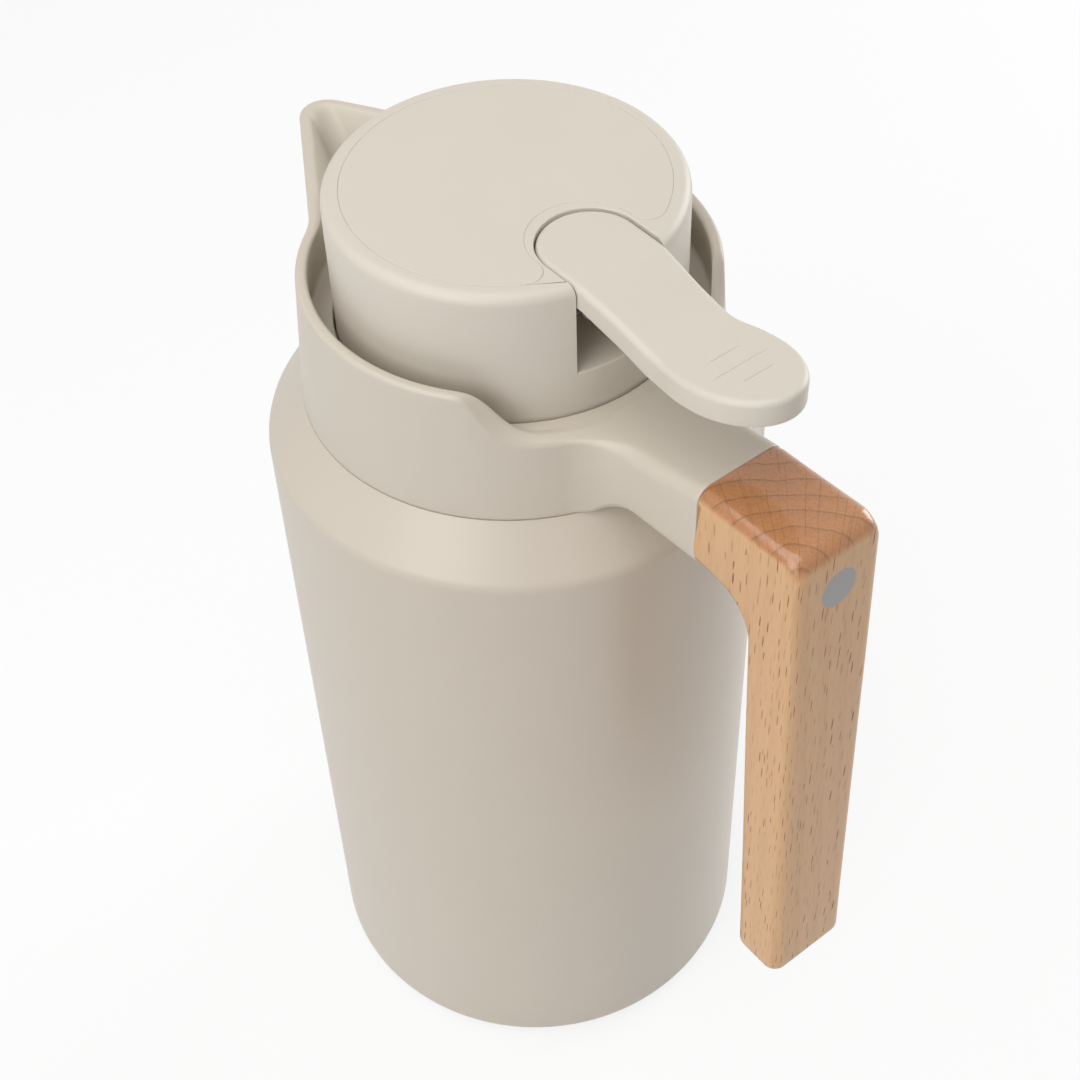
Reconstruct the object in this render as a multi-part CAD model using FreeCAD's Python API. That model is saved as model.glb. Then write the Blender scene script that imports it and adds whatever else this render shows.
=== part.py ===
import FreeCAD, Part
import math
import os

from FreeCAD import Vector

# Thermal jug: millimetres, Z up, origin on the jug's axis where it stands.
# The handle points along +X and the spout along -X.

# Steel body
BODY_R = 57.5
SHELL_WALL = 0.8
SHELL_FOOT_Z = 1.0
SHELL_LIP_R = 50.0
BASE_ROUND = 4.6
SHOULDER_Z = 188.3
SHOULDER_ROUND = 4.0
NECK_R = 40.6
NECK_TOP_Z = 215.4

# Steel liner
FLASK_WALL = 0.6
FLASK_R = 52.4
FLASK_FOOT_Z = 7.0
FLASK_FOOT_ROUND = 12.0
FLASK_SHOULDER_Z = 183.5
FLASK_NECK_R = 37.9
FLASK_NECK_Z = 199.0
FLASK_CONE_DROP = 2.0
FLASK_SHOULDER_ROUND = 8.0
FLASK_NECK_ROUND = 3.0

# Closing of the base
PLATE_Z = SHELL_FOOT_Z + SHELL_WALL
PLATE_R = 52.5
PAD_R = SHELL_LIP_R - 0.3
PAD_GROOVE_R = 38.0
PAD_GROOVE_WIDTH = 2.0
PAD_GROOVE_DEPTH = 0.8
PAD_GROOVE_ROUND = 0.4
PAD_EDGE_ROUND = 0.8
GETTER_R = 7.0
GETTER_H = 1.8
GETTER_ROUND = 0.5
GETTER_X = 20.0

# Collar, from its foot on the shoulder to its rim
COLLAR_FOOT_R = 48.3
COLLAR_FOOT_Z = 202.5
RIM_R = 46.1
RIM_Z = 234.6
RIM_WALL = 2.7
LEDGE_Z = 222.2
LEDGE_THICK = 4.8
LEDGE_BORE_R = 39.15
NECK_PLAY = 0.1
NECK_GASKET_PLAY = 0.35

# Spout: a wedge in plan that runs down and back to the collar at 45 degrees
SPOUT_APEX_X = -83.5
SPOUT_HALF_ANGLE = math.radians(30.5)
SPOUT_TIP_ROUND = 6.6
SPOUT_BACK_X = -20.0
SPOUT_DROP = 30.0

# Dip of the rim at the handle: half-widths of the step's upper and lower corner
DIP_TOP_Y = 33.6
DIP_LOW_Y = 30.6
DIP_TOP_ROUND = 3.4
DIP_LOW_ROUND = 9.7

# Arm of the collar that carries the grip
ARM_WIDTH = 22.7
ARM_START_X = 42.0
ARM_END_X = 73.7
ARM_END_TOP_Z = 226.9
ARM_FOOT_Z = 205.0
ARM_FLARE_ROUND = 14.0
ARM_EDGE_ROUND = 3.6
TENON_L = 5.0
TENON_W = 9.0
TENON_H = 4.5
TENON_Z = 219.2
TENON_PLAY = 0.1

# Wooden grip
GRIP_TOP_BACK_Z = 227.9
GRIP_BACK_TOP_X = 101.85
GRIP_LEAN = 0.0433
GRIP_THICK = 13.9
GRIP_FOOT_Z = 89.0
GRIP_UNDER_Z = 205.7
GRIP_INNER_ROUND = 12.0
GRIP_CORNER_ROUND = 4.2
GRIP_EDGE_ROUND = 3.5

# Screw that holds the grip, square to the grip's back face
SCREW_Z = 215.5
PLUG_R = 5.0
PLUG_THICK = 4.0
HEAD_R = 4.0
HEAD_H = 2.6
HEAD_DEPTH = 8.0
DRIVE_R = 1.5
DRIVE_DEPTH = 1.6
SHANK_R = 2.0
SHANK_PLAY = 0.05
INSERT_R = 3.2
INSERT_L = 14.0
INSERT_SETBACK = 0.5
SCREW_END_GAP = 1.0
GRIP_HOLE_PLAY = 0.2

# Lid drum
LID_R = 38.75
LID_TOP_Z = 254.6
LID_FOOT_Z = LEDGE_Z - LEDGE_THICK + 0.2
LID_WALL = 2.35
LID_ROUND = 2.5
LID_FLOOR_Z = 232.5
LID_FLOOR_THICK = 2.0
SLOT_HALF = 11.4
SLOT_WALL = 1.8
TONGUE_GATE_HALF = 6.2
TONGUE_GATE_DEPTH = 3.0
TONGUE_GATE_SILL = 2.0
TONGUE_GATE_HEAD = 0.8
PANEL_SHELF = 1.8
WINDOW_HALF = 13.0
WINDOW_Z = LEDGE_Z + 0.4
WINDOW_TOP_Z = 229.6
WINDOW_ROUND = 2.0

# Panel let into the lid's top
PANEL_R = 34.8
PANEL_THICK = 2.0
PANEL_GAP = 0.1
PANEL_BREAK = 0.15
NOTCH_HALF = 12.06
NOTCH_CENTRE_X = 25.7
NOTCH_FLARE_ROUND = 4.0

# Lever: plan, then the heights along it
LEVER_END_R = 11.1
LEVER_END_X = 27.7
LEVER_PAD_HALF = 11.35
LEVER_PAD_X = 70.0
LEVER_PAD_L = 16.4
LEVER_SIDE = [(36.0, 11.05), (46.0, 10.5), (53.0, 10.3), (59.0, 10.35), (65.0, 11.1)]
LEVER_FLAT_X = 38.0
LEVER_TOP = [(44.0, 253.3), (49.0, 252.15), (54.0, 251.15), (58.5, 250.65), (63.0, 250.95), (72.0, 252.35)]
LEVER_TIP = (86.5, 254.6)
LEVER_UNDER = [(78.0, 247.2), (70.0, 246.0), (64.0, 244.95), (59.0, 244.35), (54.0, 244.5), (49.0, 245.5)]
LEVER_UNDER_TIP = (86.5, 248.4)
LEVER_UNDER_FLAT_Z = 249.0
LEVER_WALL = 2.0
LEVER_EDGE_ROUND = 1.5
LEVER_EDGE_Z = 250.0
LEVER_HOLLOW_DROP = 8.0
RIDGES = [(67.0, 4.2), (71.7, 7.0), (76.2, 4.2)]
RIDGE_R = 0.55
RIDGE_SINK = 0.15

# Lever's hinge, fork and the pin that lifts the stem
HINGE_X = 33.0
HINGE_Z = 245.0
HINGE_PIN_R = 1.3
HINGE_PIN_PLAY = 0.05
HINGE_HUB_R = 3.2
HINGE_HUB_HALF = 6.0
WEB_HALF = 2.6
WEB_OVERLAP = 0.5
TONGUE_HALF = 5.5
TONGUE_H = 7.0
TONGUE_TIP_X = -6.0
TONGUE_CRANK_X = 22.0
TONGUE_LAP = 2.0
FORK_HALF = 2.9
FORK_THROAT = 2.0
LINK_Z = 240.0
LINK_SLOT_X = 0.6
LINK_PIN_R = 1.2
LINK_PIN_PLAY = 0.15
LINK_PIN_HALF = 5.2

# Stopper's cup, below the drum
CUP_R = 35.6
CUP_WALL = 2.4
CUP_FLOOR_Z = 191.0
CUP_FLOOR_THICK = 4.0
CUP_FLANGE_R = 36.35
CUP_ROUND = 2.0
CUP_TOP_Z = LEDGE_Z - 0.6
PORT_R = 8.5
GASKET_Z = 204.0
GASKET_H = 4.0
GASKET_GROOVE = 1.6
GASKET_PLAY = 0.1
GASKET_ROUND = 1.0

# Valve
VALVE_GAP = 0.1
WASHER_R = 12.6
WASHER_THICK = 2.0
WASHER_ROUND = 0.6
WASHER_BORE_R = 2.0
VALVE_PLATE_R = 11.5
VALVE_PLATE_THICK = 3.0
VALVE_PLATE_ROUND = 0.8
VALVE_PLATE_BORE_R = 1.7
STEM_R = 2.5
STEM_PLAY = 0.06
STEM_TOP_Z = 242.6
STEM_THREAD_R = 1.6
STEM_END = 0.6
STEM_ROUND = 0.8
NUT_R = 3.4
NUT_H = 2.4
BOSS_R = 6.5
BOSS_FOOT_Z = 226.0
SEAL_RING_R = 3.65
SEAL_CORD_R = 1.0
SEAL_POCKET_R = 4.7
SEAL_PLAY = 0.1
SEAT_THICK = 1.5
SEAT_PLAY = 0.3
SPRING_R = 5.2
SPRING_WIRE_R = 0.45
SPRING_TURNS = 7

# Reach of a cutter past what it cuts, and the tolerance for picking edges
CUT_PAST = 5.0
NEAR = 0.01

FULL_TURN = 360
UP = Vector(0, 0, 1)
ORIGIN = Vector(0, 0, 0)


def in_plan(z):
    """Places a sketch's two coordinates as x and y at the height z."""
    return lambda a, b: Vector(a, b, z)


def in_side(y):
    """Places a sketch's two coordinates as x and z in the upright plane at y."""
    return lambda a, b: Vector(a, y, b)


def in_front(x):
    """Places a sketch's two coordinates as y and z in the upright plane at x."""
    return lambda a, b: Vector(x, a, b)


def corner_arc(before, corner, after):
    """Start, middle and end of the arc that rounds a corner, which holds x, y and the radius."""
    here = Vector(corner[0], corner[1], 0)
    back = (Vector(before[0], before[1], 0) - here).normalize()
    ahead = (Vector(after[0], after[1], 0) - here).normalize()
    half = math.acos(max(-1.0, min(1.0, back.dot(ahead)))) / 2
    radius = corner[2]
    reach = radius / math.tan(half)
    middle_way = (back + ahead).normalize()
    middle = here + middle_way * (radius / math.sin(half) - radius)
    return here + back * reach, middle, here + ahead * reach


def rounded_face(corners, place):
    """Flat face with straight sides, whose corners (a, b) are sharp and (a, b, r) are rounded."""
    count = len(corners)
    edges = []
    joints = []
    for i, corner in enumerate(corners):
        if len(corner) == 3:
            start, middle, end = corner_arc(corners[i - 1], corner, corners[(i + 1) % count])
            points = [place(p.x, p.y) for p in (start, middle, end)]
            edges.append(Part.Arc(*points).toShape())
            joints.append((points[0], points[2]))
        else:
            point = place(corner[0], corner[1])
            joints.append((point, point))
    for i in range(count):
        start = joints[i][1]
        end = joints[(i + 1) % count][0]
        if start.distanceToPoint(end) > 1e-6:
            edges.append(Part.LineSegment(start, end).toShape())
    return Part.Face(Part.Wire(Part.__sortEdges__(edges)))


def turned(corners):
    """Solid turned about the jug's axis from a sketch of radius and height."""
    return rounded_face(corners, in_side(0)).revolve(ORIGIN, UP, FULL_TURN)


def pressed(corners, wall):
    """Sheet turned about the axis: the corners' line is its outside, and the wall lies to its left."""
    inside = []
    for i, corner in enumerate(corners):
        here = Vector(corner[0], corner[1], 0)
        sides = []
        for j in (i - 1, i):
            if 0 <= j < len(corners) - 1:
                a, b = corners[j], corners[j + 1]
                way = Vector(b[0] - a[0], b[1] - a[1], 0).normalize()
                sides.append(Vector(-way.y, way.x, 0))
        mitre = sides[0] + sides[-1]
        point = here + mitre * (wall / mitre.dot(sides[0]))
        if len(corner) == 3:
            turn = sides[0].cross(sides[-1]).z
            inside.append((point.x, point.y, corner[2] - math.copysign(wall, turn)))
        else:
            inside.append((point.x, point.y))
    return turned(list(corners) + inside[::-1])


def block(x0, x1, half_width, z0, z1):
    """Box that is centred across the jug."""
    return Part.makeBox(x1 - x0, 2 * half_width, z1 - z0, Vector(x0, -half_width, z0))


def disc(radius, z0, z1, x=0.0):
    """Upright cylinder."""
    return Part.makeCylinder(radius, z1 - z0, Vector(x, 0, z0), UP)


def ring(inner, outer, z0, z1):
    """Upright tube."""
    return disc(outer, z0, z1).cut(disc(inner, z0, z1))


def cross_bar(radius, half, x, z):
    """Cylinder that lies across the jug."""
    return Part.makeCylinder(radius, 2 * half, Vector(x, -half, z), Vector(0, 1, 0))


def edges_where(shape, test):
    """Edges whose middle point passes a test."""
    found = []
    for edge in shape.Edges:
        middle = edge.valueAt((edge.FirstParameter + edge.LastParameter) / 2)
        if test(middle):
            found.append(edge)
    return found


def collar_radius(z):
    """Outside radius of the conical collar at a height."""
    share = (z - COLLAR_FOOT_Z) / (RIM_Z - COLLAR_FOOT_Z)
    return COLLAR_FOOT_R + share * (RIM_R - COLLAR_FOOT_R)


def grip_back_x(z):
    """Where the grip's leaning back face is at a height."""
    return GRIP_BACK_TOP_X + (GRIP_TOP_BACK_Z - z) * GRIP_LEAN


SCREW_AXIS = Vector(1, 0, GRIP_LEAN).normalize()
SCREW_MOUTH = Vector(grip_back_x(SCREW_Z), 0, SCREW_Z)
SCREW_TO_JOINT = (SCREW_MOUTH.x - ARM_END_X) / SCREW_AXIS.x


def along_screw(radius, near, far):
    """Cylinder on the screw's axis between two depths below the grip's back face."""
    return Part.makeCylinder(radius, far - near, SCREW_MOUTH - SCREW_AXIS * far, SCREW_AXIS)


def outer_shell():
    return pressed([
        (SHELL_LIP_R, SHELL_FOOT_Z),
        (BODY_R, SHELL_FOOT_Z, BASE_ROUND),
        (BODY_R, SHOULDER_Z, SHOULDER_ROUND),
        (COLLAR_FOOT_R, COLLAR_FOOT_Z),
        (NECK_R, COLLAR_FOOT_Z),
        (NECK_R, NECK_TOP_Z),
    ], SHELL_WALL)


def inner_flask():
    slope = (BODY_R - COLLAR_FOOT_R) / (COLLAR_FOOT_Z - SHOULDER_Z)
    cone_z = FLASK_NECK_Z - FLASK_CONE_DROP
    cone_r = FLASK_R - (cone_z - FLASK_SHOULDER_Z) * slope
    return pressed([
        (0, FLASK_FOOT_Z),
        (FLASK_R, FLASK_FOOT_Z, FLASK_FOOT_ROUND),
        (FLASK_R, FLASK_SHOULDER_Z, FLASK_SHOULDER_ROUND),
        (cone_r, cone_z, FLASK_NECK_ROUND),
        (FLASK_NECK_R, FLASK_NECK_Z, FLASK_NECK_ROUND),
        (FLASK_NECK_R, NECK_TOP_Z),
        (NECK_R, NECK_TOP_Z),
    ], FLASK_WALL)


def base_plate():
    return disc(PLATE_R, PLATE_Z, PLATE_Z + SHELL_WALL)


def base_pad():
    return turned([
        (0, 0),
        (PAD_GROOVE_R, 0, PAD_GROOVE_ROUND),
        (PAD_GROOVE_R, PAD_GROOVE_DEPTH),
        (PAD_GROOVE_R + PAD_GROOVE_WIDTH, PAD_GROOVE_DEPTH),
        (PAD_GROOVE_R + PAD_GROOVE_WIDTH, 0, PAD_GROOVE_ROUND),
        (PAD_R, 0, PAD_EDGE_ROUND),
        (PAD_R, PLATE_Z),
        (0, PLATE_Z),
    ])


def getter():
    foot = PLATE_Z + SHELL_WALL
    body = disc(GETTER_R, foot, foot + GETTER_H, GETTER_X)
    return body.makeFillet(GETTER_ROUND, edges_where(body, lambda p: p.z > foot + GETTER_H - NEAR))


def spout_wedge(inset, lift, drop):
    """Wedge of the spout, drawn in from its outside, from above the rim down its 45 degree slope."""
    apex = SPOUT_APEX_X + inset / math.sin(SPOUT_HALF_ANGLE)
    half = (SPOUT_BACK_X - apex) * math.tan(SPOUT_HALF_ANGLE)
    plan = [
        (apex - lift, 0, SPOUT_TIP_ROUND - inset),
        (SPOUT_BACK_X - lift, -half),
        (SPOUT_BACK_X - lift, half),
    ]
    run = drop + lift
    return rounded_face(plan, in_plan(RIM_Z + lift)).extrude(Vector(run, 0, -run))


def rim_dip():
    """Cutter for the low part of the rim, which falls in a smooth step at each side of the handle."""
    beyond = RIM_R + CUT_PAST
    right = [(beyond, RIM_Z), (DIP_TOP_Y, RIM_Z, DIP_TOP_ROUND), (DIP_LOW_Y, LEDGE_Z, DIP_LOW_ROUND)]
    left = [(-corner[0],) + corner[1:] for corner in right[::-1]]
    outline = right + left + [(-beyond, RIM_Z + CUT_PAST), (beyond, RIM_Z + CUT_PAST)]
    return rounded_face(outline, in_front(0)).extrude(Vector(beyond, 0, 0))


def arm():
    """Arm in sections along X, which narrow in a round flare from the collar and rise to the grip."""
    half = ARM_WIDTH / 2
    flare_y = half + ARM_FLARE_ROUND
    flare_x = math.sqrt((collar_radius(LEDGE_Z) + ARM_FLARE_ROUND) ** 2 - flare_y ** 2)
    run = flare_x - ARM_START_X
    stations = [ARM_START_X + run * share for share in (0, 0.1, 0.25, 0.5, 0.75, 1)]
    stations += [flare_x + (ARM_END_X - flare_x) * share for share in (0.3, 0.6, 1)]
    sections = []
    for x in stations:
        width = half
        if x < flare_x:
            width = flare_y - math.sqrt(ARM_FLARE_ROUND ** 2 - (flare_x - x) ** 2)
        share = (x - ARM_START_X) / (ARM_END_X - ARM_START_X)
        top = LEDGE_Z + share * (ARM_END_TOP_Z - LEDGE_Z)
        corners = [(width, ARM_FOOT_Z), (width, top), (-width, top), (-width, ARM_FOOT_Z)]
        rounded = [corner + (ARM_EDGE_ROUND,) for corner in corners]
        sections.append(rounded_face(rounded, in_front(x)).OuterWire)
    return Part.makeLoft(sections, True)


def tenon(play):
    """Square peg on the arm's end that keeps the grip from turning."""
    return block(ARM_END_X - 1, ARM_END_X + TENON_L + play, TENON_W / 2 + play,
                 TENON_Z - play, TENON_Z + TENON_H + play)


def spout_collar():
    body = turned([(0, COLLAR_FOOT_Z), (COLLAR_FOOT_R, COLLAR_FOOT_Z), (RIM_R, RIM_Z), (0, RIM_Z)])
    body = body.fuse(spout_wedge(0, 0, SPOUT_DROP)).removeSplitter()
    ledge_r = collar_radius(LEDGE_Z) - RIM_WALL
    rim_r = RIM_R - RIM_WALL
    well = [(0, LEDGE_Z), (ledge_r, LEDGE_Z), (rim_r, RIM_Z), (rim_r, RIM_Z + 1), (0, RIM_Z + 1)]
    body = body.cut(turned(well))
    body = body.cut(spout_wedge(RIM_WALL, 1, RIM_Z - LEDGE_Z))
    body = body.cut(rim_dip())
    body = body.fuse(arm()).removeSplitter()
    body = body.cut(disc(LEDGE_BORE_R, COLLAR_FOOT_Z, RIM_Z))
    body = body.cut(disc(NECK_R + NECK_PLAY, COLLAR_FOOT_Z, LEDGE_Z - LEDGE_THICK))
    body = body.cut(along_screw(INSERT_R, 0, SCREW_TO_JOINT + INSERT_L))
    return body.fuse(tenon(0)).removeSplitter()


def neck_gasket():
    return ring(LEDGE_BORE_R + NECK_GASKET_PLAY, NECK_R, NECK_TOP_Z + FLASK_WALL, LEDGE_Z - LEDGE_THICK)


def handle_insert():
    near = SCREW_TO_JOINT + INSERT_SETBACK
    far = SCREW_TO_JOINT + INSERT_L
    return along_screw(INSERT_R, near, far).cut(along_screw(SHANK_R + SHANK_PLAY, near, far))


def handle_screw():
    far = SCREW_TO_JOINT + INSERT_L - SCREW_END_GAP
    head = along_screw(HEAD_R, HEAD_DEPTH, HEAD_DEPTH + HEAD_H)
    drive = along_screw(DRIVE_R, HEAD_DEPTH, HEAD_DEPTH + DRIVE_DEPTH)
    return head.cut(drive).fuse(along_screw(SHANK_R, HEAD_DEPTH + HEAD_H, far)).removeSplitter()


def screw_plug():
    return along_screw(PLUG_R, 0, PLUG_THICK)


def handle_grip():
    half = ARM_WIDTH / 2
    top = ARM_END_TOP_Z
    foot_in = GRIP_FOOT_Z - GRIP_THICK * GRIP_LEAN
    under_back_x = grip_back_x(GRIP_UNDER_Z) - GRIP_THICK
    outline = [
        (ARM_END_X, top),
        (GRIP_BACK_TOP_X, GRIP_TOP_BACK_Z, GRIP_CORNER_ROUND),
        (grip_back_x(GRIP_FOOT_Z), GRIP_FOOT_Z, GRIP_CORNER_ROUND),
        (grip_back_x(foot_in) - GRIP_THICK, foot_in, GRIP_CORNER_ROUND),
        (under_back_x, GRIP_UNDER_Z, GRIP_INNER_ROUND),
        (ARM_END_X, GRIP_UNDER_Z),
    ]
    body = rounded_face(outline, in_side(-half)).extrude(Vector(0, ARM_WIDTH, 0))
    body = body.makeFillet(GRIP_EDGE_ROUND, edges_where(
        body, lambda p: abs(abs(p.y) - half) < NEAR and p.x > ARM_END_X + NEAR))
    body = body.cut(along_screw(PLUG_R, -1, HEAD_DEPTH + HEAD_H))
    body = body.cut(along_screw(SHANK_R + GRIP_HOLE_PLAY, HEAD_DEPTH, SCREW_TO_JOINT + 1))
    return body.cut(tenon(TENON_PLAY))


def panel_blank(grow, z0, z1):
    """Round panel with a notch round the lever, whose corners at the edge are rounded."""
    body = disc(PANEL_R + grow, z0, z1)
    notch = disc(NOTCH_HALF - grow, z0, z1, NOTCH_CENTRE_X)
    notch = notch.fuse(block(NOTCH_CENTRE_X, LID_R, NOTCH_HALF - grow, z0, z1))
    body = body.cut(notch)
    corners = edges_where(body, lambda p: p.x > NOTCH_CENTRE_X + 1 and abs(p.z - (z0 + z1) / 2) < NEAR)
    return body.makeFillet(NOTCH_FLARE_ROUND, corners)


def lid_panel():
    foot = LID_TOP_Z - PANEL_THICK
    body = panel_blank(0, foot, LID_TOP_Z)
    return body.makeChamfer(PANEL_BREAK, edges_where(body, lambda p: p.z > LID_TOP_Z - NEAR))


def slot_cutter(grow, z0, z1):
    """Slot of the lever, open at the drum's side and round about the lever's inner end."""
    half = SLOT_HALF + grow
    mouth = block(LEVER_END_X, LID_R + CUT_PAST, half, z0, z1)
    return disc(half, z0, z1, LEVER_END_X).fuse(mouth).removeSplitter()


def lid_body():
    body = disc(LID_R, LID_FOOT_Z, LID_TOP_Z)
    body = body.makeFillet(LID_ROUND, edges_where(body, lambda p: p.z > LID_TOP_Z - NEAR))
    inner = LID_R - LID_WALL
    floor_under = LID_FLOOR_Z - LID_FLOOR_THICK
    panel_foot = LID_TOP_Z - PANEL_THICK
    body = body.cut(disc(inner, LID_FOOT_Z, floor_under))
    works = disc(inner, LID_FLOOR_Z, panel_foot - PANEL_SHELF)
    works = works.fuse(disc(PANEL_R - PANEL_SHELF, LID_FLOOR_Z, LID_TOP_Z))
    body = body.cut(works.cut(slot_cutter(SLOT_WALL, LID_FLOOR_Z, LID_TOP_Z)))
    body = body.cut(panel_blank(PANEL_GAP, panel_foot, LID_TOP_Z + 1))
    body = body.cut(slot_cutter(0, LID_FLOOR_Z, LID_TOP_Z + 1))
    slot_end = LEVER_END_X - SLOT_HALF
    body = body.cut(block(slot_end - 2 * SLOT_WALL, slot_end + TONGUE_GATE_DEPTH, TONGUE_GATE_HALF,
                          LID_FLOOR_Z + TONGUE_GATE_SILL, panel_foot - TONGUE_GATE_HEAD))
    window = rounded_face([
        (-WINDOW_HALF, WINDOW_Z, WINDOW_ROUND),
        (WINDOW_HALF, WINDOW_Z, WINDOW_ROUND),
        (WINDOW_HALF, WINDOW_TOP_Z, WINDOW_ROUND),
        (-WINDOW_HALF, WINDOW_TOP_Z, WINDOW_ROUND),
    ], in_front(-LID_R - 1)).extrude(Vector(LID_R / 2, 0, 0))
    body = body.cut(window)
    body = body.fuse(disc(BOSS_R, BOSS_FOOT_Z, floor_under)).removeSplitter()
    body = body.cut(disc(STEM_R + STEM_PLAY, BOSS_FOOT_Z, LID_FLOOR_Z))
    body = body.cut(disc(SEAL_POCKET_R, BOSS_FOOT_Z, BOSS_FOOT_Z + 2 * (SEAL_CORD_R + SEAL_PLAY)))
    return body.cut(cross_bar(HINGE_PIN_R, SLOT_HALF + SLOT_WALL, HINGE_X, HINGE_Z))


def lever_pin():
    return cross_bar(HINGE_PIN_R, SLOT_HALF + SLOT_WALL, HINGE_X, HINGE_Z)


def curve_edge(points, start_way, end_way):
    """Smooth curve through points that leaves and arrives along two given ways."""
    curve = Part.BSplineCurve()
    curve.interpolate(Points=points, InitialTangent=start_way, FinalTangent=end_way)
    return curve.toShape()


def lever_plan(inset):
    """Outline of the lever from above: a round end, a waisted middle and a wider round pad."""
    end_r = LEVER_END_R - inset
    pad_half = LEVER_PAD_HALF - inset
    edges = []
    for side in (1, -1):
        points = [(LEVER_END_X, end_r)]
        points += [(x, half - inset) for x, half in LEVER_SIDE]
        points += [(LEVER_PAD_X, pad_half)]
        points = [Vector(x, side * half, 0) for x, half in points]
        edges.append(curve_edge(points, Vector(1, 0, 0), Vector(1, 0, 0)))
    ends = [Vector(LEVER_END_X, end_r, 0), Vector(LEVER_END_X - end_r, 0, 0), Vector(LEVER_END_X, -end_r, 0)]
    edges.append(Part.Arc(*ends).toShape())
    pad_centre = Vector(LEVER_PAD_X, 0, 0)
    pad_tip = pad_centre + Vector(LEVER_PAD_L - inset, 0, 0)
    pad = Part.Ellipse(pad_tip, pad_centre + Vector(0, pad_half, 0), pad_centre)
    edges.append(Part.Arc(pad, -math.pi / 2, math.pi / 2).toShape())
    return Part.Face(Part.Wire(Part.__sortEdges__(edges)))


def lever_top_points():
    """Points of the lever's top line, from the end of its flat part to its tip."""
    return [(LEVER_FLAT_X, LID_TOP_Z)] + LEVER_TOP + [LEVER_TIP]


def lever_side(drop, under_drop):
    """Side view of the lever: flat over the lid, then down to a waist and up to the pad."""
    start_x = LEVER_END_X - LEVER_END_R - 1
    level = Vector(1, 0, 0)
    place = in_side(-LEVER_PAD_HALF - 1)
    top = [place(x, z - drop) for x, z in lever_top_points()]
    under = [LEVER_UNDER_TIP] + LEVER_UNDER + [(LEVER_FLAT_X, LEVER_UNDER_FLAT_Z)]
    under = [place(x, z - under_drop) for x, z in under]
    start_top = place(start_x, LID_TOP_Z - drop)
    start_under = place(start_x, LEVER_UNDER_FLAT_Z - under_drop)
    edges = [
        Part.LineSegment(start_top, top[0]).toShape(),
        curve_edge(top, level, top[-1] - top[-2]),
        Part.LineSegment(top[-1], under[0]).toShape(),
        curve_edge(under, under[1] - under[0], level * -1),
        Part.LineSegment(under[-1], start_under).toShape(),
        Part.LineSegment(start_under, start_top).toShape(),
    ]
    return Part.Face(Part.Wire(Part.__sortEdges__(edges)))


def lever_blank(inset, drop, under_drop):
    """Lever's form, drawn in from its outside and from its top."""
    plan = lever_plan(inset)
    plan.translate(Vector(0, 0, LID_FLOOR_Z))
    upright = plan.extrude(Vector(0, 0, LID_TOP_Z + 2 - LID_FLOOR_Z))
    return upright.common(lever_side(drop, under_drop).extrude(Vector(0, 2 * LEVER_PAD_HALF + 2, 0)))


def lever_ridge(x, half):
    """Low ridge across the thumb pad, with round ends."""
    points = [Vector(a, 0, b) for a, b in lever_top_points()]
    line = curve_edge(points, Vector(1, 0, 0), points[-1] - points[-2])
    upright = Part.LineSegment(Vector(x, 0, LID_FLOOR_Z), Vector(x, 0, LID_TOP_Z)).toShape()
    z = line.distToShape(upright)[1][0][0].z - RIDGE_SINK
    bar = cross_bar(RIDGE_R, half, x, z)
    for side in (-1, 1):
        bar = bar.fuse(Part.makeSphere(RIDGE_R, Vector(x, side * half, z)))
    return bar


def lever_tongue():
    """Cranked tongue from the hinge to the fork, whose slot takes the pin through the stem."""
    half_h = TONGUE_H / 2
    low, high = LINK_Z - half_h, LINK_Z + half_h
    hub_low, hub_high = HINGE_Z - HINGE_HUB_R, HINGE_Z + HINGE_HUB_R
    slot_r = LINK_PIN_R + LINK_PIN_PLAY
    outside = TONGUE_HALF + 1
    body = block(TONGUE_TIP_X, TONGUE_CRANK_X + TONGUE_LAP, TONGUE_HALF, low, high)
    body = body.fuse(block(TONGUE_CRANK_X, HINGE_X, TONGUE_HALF, hub_low, hub_high))
    body = body.cut(block(TONGUE_TIP_X, STEM_R + FORK_THROAT, FORK_HALF, low, high))
    body = body.cut(cross_bar(slot_r, outside, LINK_SLOT_X, LINK_Z))
    return body.cut(block(TONGUE_TIP_X, LINK_SLOT_X, outside, LINK_Z - slot_r, LINK_Z + slot_r))


def lever():
    body = lever_blank(0, 0, 0)
    body = body.makeFillet(LEVER_EDGE_ROUND, edges_where(
        body, lambda p: p.z > LEVER_EDGE_Z and abs(p.x - LEVER_END_X) > NEAR))
    body = body.cut(lever_blank(LEVER_WALL, LEVER_WALL, LEVER_HOLLOW_DROP))
    web_top = LID_TOP_Z - LEVER_WALL + WEB_OVERLAP
    body = body.fuse(cross_bar(HINGE_HUB_R, HINGE_HUB_HALF, HINGE_X, HINGE_Z))
    body = body.fuse(block(HINGE_X - WEB_HALF, HINGE_X + WEB_HALF, HINGE_HUB_HALF - 1, HINGE_Z, web_top))
    body = body.fuse(lever_tongue())
    for x, half in RIDGES:
        body = body.fuse(lever_ridge(x, half))
    body = body.removeSplitter()
    return body.cut(cross_bar(HINGE_PIN_R + HINGE_PIN_PLAY, HINGE_HUB_HALF + 1, HINGE_X, HINGE_Z))


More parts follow.
